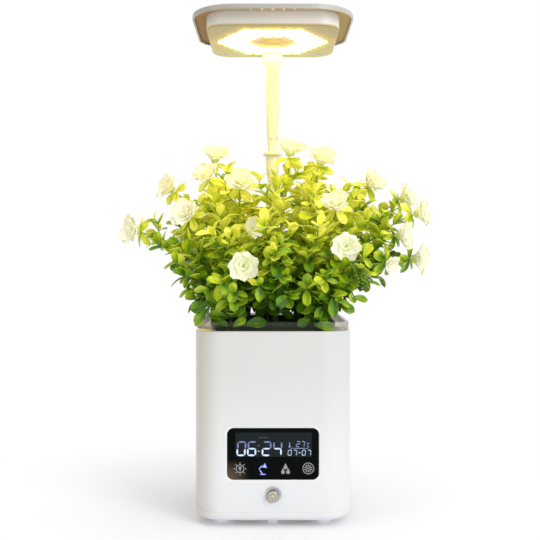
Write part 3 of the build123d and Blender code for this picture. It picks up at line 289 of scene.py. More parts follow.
def button_finish():
    """Metal cap of the button, turned in rings, with a painted dark ring and painted shade round its edge.
    """
    finish = Finish("button_steel", (0.5, 0.48, 0.42), metallic=1.0)
    across, _, up = finish.place()
    reach = distance(*from_button(across, up))
    # Painted shade: a dark ring, and a darker edge where the dome turns from the light.
    groove = reach.rise(2.0 * MM, 2.3 * MM) * reach.fall(2.7 * MM, 3.0 * MM)
    rim = reach.rise(4.0 * MM, 4.9 * MM)
    finish.color(finish.blend((groove + rim).limit(), (0.56, 0.54, 0.47), (0.26, 0.25, 0.20)))
    finish.roughness(0.30 + 0.12 * (reach * 9000).math("SINE"))
    finish.bump((reach * 12000).math("SINE"), 0.02 * MM)
    return finish


def lens_finish():
    """Smoked black acrylic over the clock, with the grey window of the liquid crystal and a
    painted brown reflection low on the left."""
    finish = Finish("lens_black", (0.003, 0.004, 0.004), ior=1.28, specular_ior_level=0.06)
    across, _, up = finish.place()
    window = abs(across - WINDOW_MIDDLE[0]).fall(WINDOW_HALF[0] - 0.6 * MM, WINDOW_HALF[0]) \
        * abs(up - WINDOW_MIDDLE[1]).fall(WINDOW_HALF[1] - 0.6 * MM, WINDOW_HALF[1])
    haze = window * (0.75 + 0.5 * finish.noise(60, 2))
    # Painted reflection: a brown patch low on the left.
    brown_reflection = across.fall(-40 * MM, -20 * MM) * up.fall(46 * MM, 64 * MM) * (1 - window)
    tone = finish.blend(haze, (0.003, 0.004, 0.004), (0.016, 0.020, 0.022))
    finish.color(finish.blend(brown_reflection, tone, (0.10, 0.075, 0.055)))
    finish.roughness(0.07 + 0.05 * finish.noise(240, 2))
    return finish


def lit_finish(name, color, strength, dim=None, low=0.0, high=1.0):
    """A lit sign in the lens, dimmer above the heights low to high where dim is given."""
    finish = Finish(name, (0.02, 0.02, 0.02), roughness=0.35)
    if dim is None:
        share = finish.noise(900, 2) * 0.25
        dim = tuple(channel * 0.8 for channel in color)
    else:
        share = finish.place()[2].rise(low, high)
    finish.glow(finish.blend(share, color, dim), strength)
    return finish


def tray_finish():
    """Clear smoky tray: nearly unseen in front, a painted pinkish-tan reflection behind, olive corners
    painted darker on the left and paler on the right by light, denser where it is seen edge on,
    and a painted line of lamp light low on its left."""
    finish = Finish("clear_smoke", (0.46, 0.42, 0.24), ior=1.46)
    across, along, up = finish.place()
    behind = along.rise(-52 * MM, -20 * MM)
    side = abs(across).rise(COLLAR_SIDE, COLLAR_SIDE + 12 * MM)
    left = across.fall(-10 * MM, 10 * MM)
    # Painted light and shade: the left corner olive-tan, the right one paler grey.
    corner = finish.blend(left, (0.64, 0.60, 0.48), (0.46, 0.38, 0.19))
    # Painted reflection: pinkish tan on the rear wall.
    wall = finish.blend(behind, (0.50, 0.52, 0.42), (0.56, 0.40, 0.31))
    # Painted lamp light: a bright yellow line low on the left corner.
    line = up.fall(180.0 * MM, 181.2 * MM) * side * left * (1 - behind)
    finish.color(finish.blend(line, finish.blend(side, wall, corner), (0.98, 0.66, 0.17)))
    edge = Value(finish, finish.node("ShaderNodeLayerWeight", None, {"Blend": 0.3}).outputs["Facing"])
    body = 0.02 + behind * 0.50 + side * (1 - behind) * 0.30
    haze = 0.05 + (behind + side).limit() * 0.30
    finish.feed(finish.shader.inputs["Alpha"], (body + edge * haze + line * 0.6).limit())
    finish.roughness(0.05 + 0.08 * finish.noise(90, 3))
    return finish


# ---------------------------------------------------------------- finishes of the lamp
LED_PITCH = 10 * MM
LED_FIRST, LED_LAST = 3, 5    # rings of lenses round the panel's middle
LED_GLOW = 4.6 * MM           # radius of the light round a lens
LED_POWER = 11.0


def pole_finish(name, rough):
    """Pale cream coat with painted lamp light: yellow low down, painted shade high up where the lamp's own
    light is strongest, and palest at the lamp.
    """
    finish = Finish(name, (0.86, 0.82, 0.66))
    _, _, up = finish.place()
    # Painted light and shade: yellow lamp light low down, darker high up below the lamp.
    lamp_lit_paint = finish.blend(up.rise(300 * MM, 420 * MM), (0.97, 0.91, 0.64), (0.66, 0.62, 0.48))
    finish.color(finish.blend(up.rise(440 * MM, 452 * MM), lamp_lit_paint, (0.86, 0.86, 0.82)))
    finish.skin(rough, 120, 1100, 0.02 * MM)
    return finish


def panel_reach(across, along):
    """How far a point lies from the light panel's middle, measured to the points of a hexagon."""
    middle = (PANEL_LOW + PANEL_HIGH) / 2
    x = abs(across - middle.x)
    y = abs(along - middle.y)
    return (x + y / 3 ** 0.5).math("MAXIMUM", y * (2 / 3 ** 0.5))


def painted_underside_light(finish, along):
    """The underside's painted tan of lamp light and shade, lighter towards the pole."""
    return finish.blend(along.rise(-55 * MM, 60 * MM), (0.42, 0.315, 0.085), (0.64, 0.55, 0.15))


def lamp_finish():
    """Warm white lamp plastic: painted shade on its left, a painted tan underside, and a painted glow
    round the light panel.
    """
    finish = Finish("lamp_white", (0.78, 0.74, 0.64))
    across, along, up = finish.place()
    under = up.fall(HOUSING_LOW.z + 0.3 * MM, HOUSING_LOW.z + 3 * MM)
    near = panel_reach(across, along).fall(50 * MM, 72 * MM) * under
    # Painted shade: the left side darker than the right.
    side = finish.blend(across.rise(-55 * MM, 50 * MM), (0.70, 0.67, 0.61), (0.80, 0.77, 0.70))
    finish.color(finish.blend(under, side, painted_underside_light(finish, along)))
    # Painted glow: the plastic round the light panel glows, though it is no lamp.
    finish.glow(finish.blend(near, (0.0, 0.0, 0.0), (0.20, 0.10, 0.0)))
    finish.skin(0.34)
    return finish


def grille_finish():
    """The unlit middle of the light panel: painted tan and a faint painted glow of lamp light."""
    finish = moulded("grille_painted_tan", (0.72, 0.53, 0.21), 0.4)
    # Painted glow of lamp light on an unlit part.
    finish.glow((0.12, 0.08, 0.02))
    return finish


def cap_finish():
    """Warm grey cap: painted shade on its sides, darker to the left, a painted dark line of shade where it
    rounds over, and a paler top.
    """
    finish = Finish("cap_white", (0.80, 0.78, 0.73))
    across, _, up = finish.place()
    side = up.fall(LINER_HIGH.z + 0.2 * MM, LINER_HIGH.z + 1.6 * MM)
    # Painted shade: the sides grey, darkest on the left.
    skin = finish.blend(across.rise(-70 * MM, 70 * MM), (0.37, 0.345, 0.305), (0.48, 0.465, 0.435))
    # Painted shade: a dark line where the top edge rounds away from the light.
    rounded = up.rise(CAP_TOP - 1.2 * MM, CAP_TOP - 0.7 * MM) * up.fall(CAP_TOP - 0.08 * MM, CAP_TOP)
    skin = finish.blend(rounded, skin, (0.14, 0.14, 0.15))
    finish.color(finish.blend(side, (0.70, 0.69, 0.66), skin))
    finish.skin(0.32)
    return finish


def liner_finish():
    """The cap's lining: painted tan of the light that comes back from below, with painted shade to the
    left, greyer in front.
    """
    finish = Finish("liner_painted_tan", (0.40, 0.27, 0.10))
    across, along, _ = finish.place()
    # Painted light and shade: tan from the lamp's light below, darker on the left.
    sides = finish.blend(across.rise(-70 * MM, 70 * MM), (0.33, 0.168, 0.028), (0.42, 0.290, 0.075))
    finish.color(finish.blend(along.rise(-64 * MM, -50 * MM), (0.46, 0.40, 0.31), sides))
    finish.skin(0.62)
    return finish


def light_finish():
    """Lit light panel: white over the lenses, yellow at their edge and tan outside them."""
    finish = Finish("led_lens", (0.62, 0.47, 0.16), roughness=0.25)
    across, along, _ = finish.place()
    middle = (PANEL_LOW + PANEL_HIGH) / 2
    row = LED_PITCH * 3 ** 0.5 / 2
    spots = []
    for shift in (0, 1):
        x = (across - middle.x + shift * LED_PITCH / 2).math("PINGPONG", LED_PITCH / 2)
        y = (along - middle.y + shift * row).math("PINGPONG", row)
        spots.append(distance(x, y))
    spot = spots[0].math("MINIMUM", spots[1])
    reach = panel_reach(across, along)
    rings = reach.fall((LED_LAST + 0.49) * LED_PITCH, (LED_LAST + 0.5) * LED_PITCH) \
        * reach.rise((LED_FIRST - 0.5) * LED_PITCH, (LED_FIRST - 0.49) * LED_PITCH)
    between = reach.fall(LED_LAST * LED_PITCH - 2 * MM, LED_LAST * LED_PITCH - 1 * MM) \
        * reach.rise(LED_FIRST * LED_PITCH + 1 * MM, LED_FIRST * LED_PITCH + 2 * MM)
    lens = spot.fall(LED_GLOW - 0.2 * MM, LED_GLOW + 0.2 * MM) * rings
    fringe = spot.fall(LED_GLOW, LED_GLOW + 0.6 * MM) * rings
    # Painted tan of lamp light and shade under the lenses' glow.
    finish.color(painted_underside_light(finish, along))
    tan, yellow = [
        tuple(channel / LED_POWER for channel in color) for color in ((0.15, 0.06, 0.0), (1.0, 0.82, 0.34))
    ]
    outer = finish.blend(fringe.math("MAXIMUM", between), tan, yellow)
    finish.glow(finish.blend(lens.math("MAXIMUM", between), outer, (1.0, 0.86, 0.14)), LED_POWER)
    return finish


# ---------------------------------------------------------------- finishes of the plants
LEAF_GREENS = [               # from shade to light
    (0.0, (0.040, 0.112, 0.002)), (0.20, (0.110, 0.255, 0.004)), (0.48, (0.315, 0.460, 0.008)),
    (0.76, (0.680, 0.720, 0.030)), (1.0, (0.930, 0.900, 0.120)),
]


def leaf_finish():
    """Waxy leaves: deep green low down and yellow-green high up, partly young growth and partly
    painted lamp light; painted shade between the plants, at each leaf's foot and out to the sides,
    most on the right; a pale rim; one half painted lighter than the other; and a faint painted glow."""
    finish = Finish("leaf_green", (0.2, 0.35, 0.03), ior=1.5, specular_ior_level=0.28)
    side, along = finish.place_on_blade()
    across, _, up = finish.place()
    off = abs(side - 0.5) * 2
    # Painted light: one half of each leaf lighter, as a fold catches the light.
    half = (side.rise(0.42, 0.58) - 0.5) * 0.16
    # Painted shade: darker at each leaf's foot.
    fold = (along.rise(0.15, 0.8) - 0.5) * 0.22
    patch = (finish.noise(75, 2) - 0.5) * 0.95
    own = (finish.tint() - 0.5) * 0.95
    # Partly young growth and partly painted lamp light: yellower high up.
    high = up.rise(183 * MM, 305 * MM) * 0.74
    # Painted shade: darker out to the sides and more on the right, to offset the key light there.
    outer = abs(across).rise(30 * MM, 120 * MM) * 0.16 + across.rise(60 * MM, 120 * MM) * 0.16
    # Painted shade: darker low down between the plants.
    inner = abs(across - 8 * MM).fall(4 * MM, 30 * MM) * up.fall(205 * MM, 262 * MM) * 0.34
    light = (high + own + half + fold + patch + 0.08 - outer - inner).limit()
    body = finish.node("ShaderNodeValToRGB", {"stops": LEAF_GREENS}, {0: light}).outputs[0]
    edged = finish.blend(off.rise(0.62, 1.0) * 0.28 * light, body, (0.80, 0.82, 0.12))
    rib = finish.blend(light, (0.16, 0.27, 0.01), (0.70, 0.74, 0.06))
    finish.color(finish.blend(off.fall(0.0, 0.16) * 0.30, edged, rib))
    # Painted glow: the leaves glow faintly, though they are no lamp.
    finish.glow(body, 0.05)
    finish.roughness(0.26 + 0.14 * finish.noise(300, 2))
    finish.bump(off * 0.5 + 0.4 * (along * 30 + off * 6).math("SINE"), 0.16 * MM)
    return finish


def stem_finish():
    """Twigs: nearly black-green low down, green further up."""
    finish = Finish("stem_green", (0.10, 0.16, 0.03))
    _, _, up = finish.place()
    finish.color(finish.blend(up.rise(200 * MM, 280 * MM), (0.012, 0.035, 0.008), (0.30, 0.38, 0.04)))
    finish.roughness(0.5 + 0.2 * finish.noise(300, 2))
    finish.bump(finish.noise(700, 3, 0.6, (1, 1, 0.2)), 0.3 * MM)
    return finish


def petal_finish():
    """Cream petals: green-yellow at their foot, yellower high up with painted lamp light, painted
    shade to the right, greyer at their ends, and a faint painted glow."""
    finish = Finish("petal_cream", (0.9, 0.9, 0.7), ior=1.4)
    side, along = finish.place_on_blade()
    across, _, up = finish.place()
    tint = finish.tint()
    foot = along.fall(0.05, 0.70)
    pale = finish.blend(tint, (0.80, 0.81, 0.54), (0.94, 0.93, 0.77))
    # Painted lamp light: yellower petals high up.
    warm = finish.blend(tint, (0.90, 0.85, 0.46), (0.96, 0.92, 0.62))
    cream = finish.blend(up.rise(250 * MM, 340 * MM), pale, warm)
    # Painted shade: darker on the right, to offset the key light there.
    cream = finish.blend(across.rise(50 * MM, 120 * MM) * 0.36, cream, (0.72, 0.69, 0.48))
    cream = finish.blend(along.rise(0.80, 1.0) * 0.25, cream, (0.76, 0.74, 0.70))
    finish.color(finish.blend(foot * 0.9, cream, (0.60, 0.64, 0.16)))
    # Painted glow that lightens the petals' shade, though they are no lamp.
    finish.glow(finish.blend(foot, cream, (0.50, 0.50, 0.14)), 0.13)
    finish.roughness(0.50 + 0.1 * finish.noise(300, 2))
    finish.bump((side * 25).math("SINE"), 0.06 * MM)
    return finish


# ---------------------------------------------------------------- modelling helpers
def fresh():
    """Leaves edit mode and deselects everything."""
    if bpy.context.object and bpy.context.object.mode != "OBJECT":
        bpy.ops.object.mode_set(mode="OBJECT")
    bpy.ops.object.select_all(action="DESELECT")


def pick(piece):
    """Selects one piece alone and makes it the active one."""
    fresh()
    piece.select_set(True)
    bpy.context.view_layer.objects.active = piece


def editing(piece, select="DESELECT"):
    """Starts editing a piece, with nothing or, after "SELECT", all of it selected."""
    pick(piece)
    bpy.ops.object.mode_set(mode="EDIT")
    bpy.ops.mesh.select_all(action=select)
    return bmesh.from_edit_mesh(piece.data)


def new_object(name, data):
    """A mesh, curve, lamp or camera in the scene."""
    piece = bpy.data.objects.new(name, data)
    bpy.context.scene.collection.objects.link(piece)
    return piece


def join_copies(name, blanks, places):
    """One mesh of many copies: places are (blank's index, matrix, tint), and a copy whose tint
    is None keeps the tints that it has."""
    shape = bmesh.new()
    for index, matrix, tint in places:
        mesh = blanks[index].data.copy()
        mesh.transform(matrix)
        if tint is not None:
            tints = mesh.attributes.new("tint", "FLOAT", "POINT")
            tints.data.foreach_set("value", [tint] * len(mesh.vertices))
        shape.from_mesh(mesh)
        bpy.data.meshes.remove(mesh)
    mesh = bpy.data.meshes.new(name)
    shape.to_mesh(mesh)
    shape.free()
    return new_object(name, mesh)


def drop_blanks(blanks):
    for blank in blanks:
        bpy.data.objects.remove(blank)


def wear(piece, finish, angle=35):
    """Gives a piece its finish and smooth shading up to an angle in degrees."""
    piece.data.materials.append(finish.material)
    pick(piece)
    bpy.ops.object.shade_smooth_by_angle(angle=radians(angle))
    fresh()


def settle(piece, body):
    """Says what a finished piece rides on."""
    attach(piece, body)


# ---------------------------------------------------------------- leaves, petals and flowers
LEAF_LENGTH = 20 * MM
LEAF_SIZE = (LEAF_LENGTH, 11.2 * MM, 0.7 * MM)      # length, width and thickness
LEAF_GRID = (4, 7)            # faces across and along
LEAF_BENDS = [(0.10, 0.20), (0.30, 0.14), (-0.16, 0.26), (0.48, 0.22)]        # arch and fold
PETAL_SIZE = (16 * MM, 14 * MM, 0.5 * MM)
PETAL_GRID = (9, 5)
PETAL_BENDS = [(0.20, 0.04, 0.0), (0.34, 0.06, 1.3), (0.12, 0.035, 2.4)]      # curl, wave and turn
PETAL_LIFT = 1.2 * MM         # from a flower's foot to the foot of its petals
# rings of petals: how many, length as a share, lift from flat in degrees, turn in degrees
OPEN_RINGS = [(7, 0.94, 20, 0), (5, 0.70, 42, 30), (3, 0.46, 64, 10)]
CUP_RINGS = [(6, 1.20, 53, 0), (5, 1.02, 64, 30), (4, 0.76, 76, 10)]


def blade_blank(name, size, grid, outline, hollow):
    """A thin blade along +Y from the origin, its upper side up: outline(t) is its half width,
    and hollow(side, t) gives its bend, its height as a share of the width and its length."""
    length, width, thick = size
    fresh()
    bpy.ops.mesh.primitive_grid_add(x_subdivisions=grid[0], y_subdivisions=grid[1], size=1)
    blade = bpy.context.object
    blade.name = name
    for vertex in blade.data.vertices:
        side = vertex.co.x * 2
        t = vertex.co.y + 0.5
        bend, rise, reach = hollow(side, t)
        y = t * length * reach * (1 - 0.25 * bend * bend * t)
        vertex.co = (side * width / 2 * outline(t), y, rise * width - bend * t * t * length)
    editing(blade, "SELECT")
    bpy.ops.mesh.remove_doubles(threshold=0.02 * MM)
    pick(blade)
    modifier = blade.modifiers.new("wall", "SOLIDIFY")
    modifier.thickness = thick
    modifier.offset = 0
    bpy.ops.object.modifier_apply(modifier=modifier.name)
    fresh()
    return blade


def leaf_blank(number, arch, fold):
    """A leaf that is widest past its middle and round at its end, arched and folded."""
    def outline(t):
        return max(0.0, sin(pi * t ** 1.6)) ** 0.5

    def hollow(side, t):
        return arch, fold * abs(side) ** 1.2 * sin(pi * min(1, t + 0.1)), 1

    return blade_blank(f"leaf_blank_{number}", LEAF_SIZE, LEAF_GRID, outline, hollow)


def petal_blank(number, curl, wave, turn):
    """A broad petal that stands up from its foot and rolls outwards at its lobed end."""
    def outline(t):
        return (0.26 + 0.74 * sin(pi / 2 * min(1, t * 1.3))) * (1 - max(0.0, t - 0.72) ** 2 * 5.4)

    def hollow(side, t):
        rise = 0.24 * side * side * (1 - 0.6 * t) + wave * sin(5.2 * side + turn) * t * t
        lobes = 0.022 * cos(2.0 * pi * side + turn) - 0.13 * side * side
        return curl, rise, 1 + lobes * t ** 3

    return blade_blank(f"petal_blank_{number}", PETAL_SIZE, PETAL_GRID, outline, hollow)


def flower_blank(name, rings, petals, chance):
    """A double flower that faces +Z, with its foot at the origin."""
    places = []
    foot = Matrix.Translation((0, 0, PETAL_LIFT))
    for count, share, lift, start in rings:
        for number in range(count):
            around = radians(start + 360 * number / count + chance.uniform(-9, 9))
            tilt = radians(lift + chance.uniform(-8, 8))
            size = share * chance.uniform(0.90, 1.08)
            spin = Matrix.Rotation(around, 4, "Z") @ Matrix.Rotation(tilt, 4, "X")
            twist = Matrix.Rotation(radians(chance.uniform(-12, 12)), 4, "Y")
            place = foot @ spin @ twist @ Matrix.Diagonal((size, size, size, 1))
            places.append((chance.randrange(len(petals)), place, chance.random()))
    return join_copies(name, petals, places)


# ---------------------------------------------------------------- plants
# Each plant's place in the tray and the tips of its sprigs, in millimetres.
SPRIGS = {
    "plant_front_left": ((-36, -31), [
        (-62, -8, 321), (-32, -10, 314), (-79, -25, 284), (-130, -8, 271), (-27, -70, 238),
        (-92, -40, 258), (-84, -50, 228), (-72, -52, 206), (-58, -70, 216), (-56, -58, 268),
        (-56, -34, 300), (-40, -76, 206), (-78, -12, 240), (-46, -80, 222), (-88, -30, 270),
        (-66, -20, 222), (-48, -58, 200), (-57, -48, 203), (-39, -65, 184),
    ]),
    "plant_front_middle": ((0, -31), [
        (16, -16, 343), (-20, -34, 272), (4, -44, 318), (-8, -70, 276), (2, -90, 250),
        (-12, -80, 220), (14, -78, 210), (12, -58, 262), (8, -50, 296),
    ]),
    "plant_front_right": ((36, -31), [
        (46, -4, 336), (60, -34, 291), (67, -60, 256), (137, -8, 288), (118, -20, 267),
        (133, -18, 245), (84, -76, 246), (74, -58, 208), (90, -46, 224), (46, -82, 226),
        (42, -64, 276), (34, -40, 318), (80, -14, 306), (107, -40, 242), (88, -34, 280),
        (60, -74, 206), (100, -28, 254), (46, -60, 200), (57, -48, 203), (38, -65, 185),
    ]),
    "plant_back_left": ((-28, 14), [
        (-59, 22, 341), (-98, 12, 312), (-60, 84, 306), (-84, 70, 268), (-22, 88, 272),
        (-84, 80, 250), (-46, 86, 236), (-82, 42, 226), (-40, 44, 322), (-74, 50, 300),
        (-96, 22, 278), (-104, 50, 258), (-18, 44, 300), (-30, 72, 210), (-52, 30, 312),
        (-50, 30, 206), (-16, 40, 205), (-40, 44, 208), (-30, 20, 284),
    ]),
    "plant_back_right": ((28, 14), [
        (95, 12, 317), (127, 17, 303), (50, 86, 308), (90, 70, 280), (18, 90, 258),
        (44, 30, 338), (76, 80, 270), (104, 46, 254), (82, 54, 230), (44, 84, 236),
        (64, 50, 314), (78, 22, 320), (24, 30, 310), (30, 72, 210), (104, 30, 286),
        (60, 40, 262), (50, 30, 206), (18, 40, 205), (40, 44, 208), (30, 20, 284),
    ]),
}
# The way that the flower at a sprig's tip faces; the other sprigs end in leaves.
FACINGS = {
    (-62, -8, 321): (-0.30, -0.65, 0.70), (-32, -10, 314): (0.05, -0.8, 0.6),
    (-79, -25, 284): (-0.45, -0.8, 0.45), (-130, -8, 271): (-0.78, -0.58, 0.18),
    (-27, -70, 238): (0.0, -1, 0.15), (16, -16, 343): (0.1, -0.45, 0.9),
    (-20, -34, 272): (0.3, -0.8, 0.3), (46, -4, 336): (0.25, -0.62, 0.75),
    (60, -34, 291): (-0.1, -0.72, 0.7), (67, -60, 256): (0.05, -1, 0.15),
    (137, -8, 288): (0.90, -0.38, 0.2), (118, -20, 267): (0.86, -0.50, 0.10),
    (133, -18, 245): (0.90, -0.42, 0.0), (107, -40, 242): (0.5, -0.75, -0.3),
    (-59, 22, 341): (0.1, -0.42, 0.9), (-98, 12, 312): (-0.72, -0.5, 0.48),
    (-60, 84, 306): (-0.4, 0.7, 0.7), (-84, 70, 268): (-0.8, 0.5, 0.3),
    (-22, 88, 272): (-0.1, 0.9, 0.4), (95, 12, 317): (0.55, -0.66, 0.46),
    (127, 17, 303): (0.80, -0.45, 0.40), (50, 86, 308): (0.3, 0.7, 0.7),
    (90, 70, 280): (0.8, 0.5, 0.3), (18, 90, 258): (0.1, 0.95, 0.2),
}
SMALL_FLOWERS = {(-20, -34, 272): 0.85, (107, -40, 242): 0.6}
# Leaves that hang over the deck and the tray's corners: foot and tip in millimetres, and tint.
HANGING = {
    "plant_front_left": [
        ((-40.7, -62, 183), (-56.5, -64, 191), 0.40), ((-37.2, -62, 182), (-25.0, -65, 190), 0.55),
        ((-41.3, -62, 191), (-59.0, -66, 195), 0.60), ((-40.4, -62, 191), (-26.5, -66, 202), 0.35),
        ((-43.1, -62, 200), (-60.5, -66, 208), 0.50), ((-43.1, -62, 201), (-24.8, -67, 211), 0.65),
        ((-25.7, -63, 183.5), (-6.0, -65, 188), 0.45), ((-58.7, -72, 200), (-72.5, -77, 187), 0.70),
        ((-58.0, -70, 204), (-75.0, -74, 199), 0.45),
    ],
    "plant_front_middle": [
        ((6.0, -40, 196), (19.0, -44, 190), 0.20), ((-3.0, -40, 198), (-17.0, -44, 192), 0.15),
    ],
    "plant_front_right": [
        ((37.5, -63, 184), (57.5, -65, 183.5), 0.60), ((36.5, -62, 190), (52.0, -66, 196), 0.35),
        ((35.0, -62, 189), (22.0, -65, 184.5), 0.30), ((60.0, -66, 204), (74.0, -72, 197), 0.50),
    ],
    "plant_back_left": [
        ((-24.0, 40, 189), (-31.0, 46, 204), 0.10), ((-19.0, 40, 189), (-17.0, 44, 206), 0.20),
        ((-16.0, 40, 189), (-10.0, 38, 204), 0.05), ((-20.0, 42, 198), (-12.0, 40, 213), 0.15),
    ],
    "plant_back_right": [
        ((13.0, 38, 189), (7.0, 36, 204), 0.10), ((16.0, 40, 189), (17.0, 42, 206), 0.05),
        ((20.0, 40, 189), (27.0, 44, 204), 0.20), ((17.0, 42, 198), (11.0, 38, 213), 0.15),
    ],
}
POLE_CLEAR = 13 * MM          # between a leaf and the pole's axis
TRAY_ROOM = 67 * MM           # leaves stay this near the tray's middle up to WALL_TOP
WALL_TOP = COLLAR_TOP + 3 * MM
DECK_FRONT = -60 * MM         # and in front of this line up to DECK_TOP
DECK_TOP = COLLAR_TOP + 1 * MM
LEAF_LOWEST = SPONGE_TOP + 6 * MM
FLOWER_VIEW = (26 * MM, 11 * MM)          # length and radius of the free room ahead of a flower
ROOT_DEPTH = 4 * MM           # below the top of the sponge
SPRIG_THICK = (3.4 * MM, 1.3 * MM)        # at the root and at the tip
TWIG_THICK = (1.3 * MM, 0.9 * MM)
SHOOT_THICK = (3.8 * MM, 2.0 * MM)
SHOOTS = 7                    # stems that only stand in each basket
CROWN_RISE = 26 * MM          # where a plant's sprigs part, over the collar
LOW_TIP = 48 * MM             # sprigs whose tips are lower over the collar have leaves further down
BOW = 1.08                    # length of a sprig over the distance between its ends
LEAF_STEP = 8.0 * MM          # between the pairs of leaves on a sprig
TWIG_STEP = 17 * MM           # between its side twigs
TWIG_SHARE = 0.62             # how much of a sprig bears twigs
TWIGS_FROM, TWIGS_TO = 0.36, 0.90         # and where, as shares of its length
TWIG_LENGTH = 22 * MM
TWIG_ROOM = 15 * MM           # left free beyond a twig's end
SEPALS = 5                    # leaves round a flower's foot
SEPAL_SIZE = 0.78             # as a share of a leaf
SEPAL_ROOM = 13 * MM
SEPAL_DROP = 1.5 * MM         # behind the flower's foot

VIEWS = [(Vector(tip) * MM, Vector(facing).normalized()) for tip, facing in FACINGS.items()]


def hides_flower(point):
    """Whether a point lies in front of a flower's face."""
    length, radius = FLOWER_VIEW
    for foot, facing in VIEWS:
        away = point - foot
        ahead = away.dot(facing)
        if 0 < ahead < length and (away - facing * ahead).length < radius:
            return True
    return False


def has_room(at, tip):
    """Whether a leaf from at to tip stays off the pole, the tray, the sponges and the flowers."""
    middle = (at + tip) / 2
    if hides_flower(middle) or hides_flower(tip):
        return False
    for point in (at, middle, tip):
        near_pole = Vector((point.x, point.y - POLE_Y)).length < POLE_CLEAR
        in_wall = point.z < WALL_TOP and max(abs(point.x), abs(point.y)) > TRAY_ROOM
        in_deck = point.z < DECK_TOP and point.y > DECK_FRONT
        if near_pole or in_wall or in_deck or point.z < LEAF_LOWEST:
            return False
    return True


def bezier(points, t):
    a, b, c, d = points
    s = 1 - t
    return s ** 3 * a + 3 * s * s * t * b + 3 * s * t * t * c + t ** 3 * d


def heading(line, t):
    """The way that a line of four points runs at t."""
    return (bezier(line, min(1, t + 0.02)) - bezier(line, t - 0.02)).normalized()


def axes_matrix(across, along, up):
    """A turn that takes the three axes to three given ways."""
    return Matrix((across, along, up)).transposed().to_4x4()


def leaf_matrix(at, way, up, size, chance):
    """A leaf at a point, pointing along way, its upper side towards up."""
    along = way.normalized()
    over = up - along * up.dot(along)
    if over.length < 0.05:
        over = along.orthogonal()
    over.normalize()
    roll = Matrix.Rotation(radians(chance.uniform(-22, 22)), 4, "Y")
    width = size * chance.uniform(0.9, 1.12)
    turned = axes_matrix(along.cross(over), along, over)
    return Matrix.Translation(at) @ turned @ roll @ Matrix.Diagonal((width, size, size, 1))


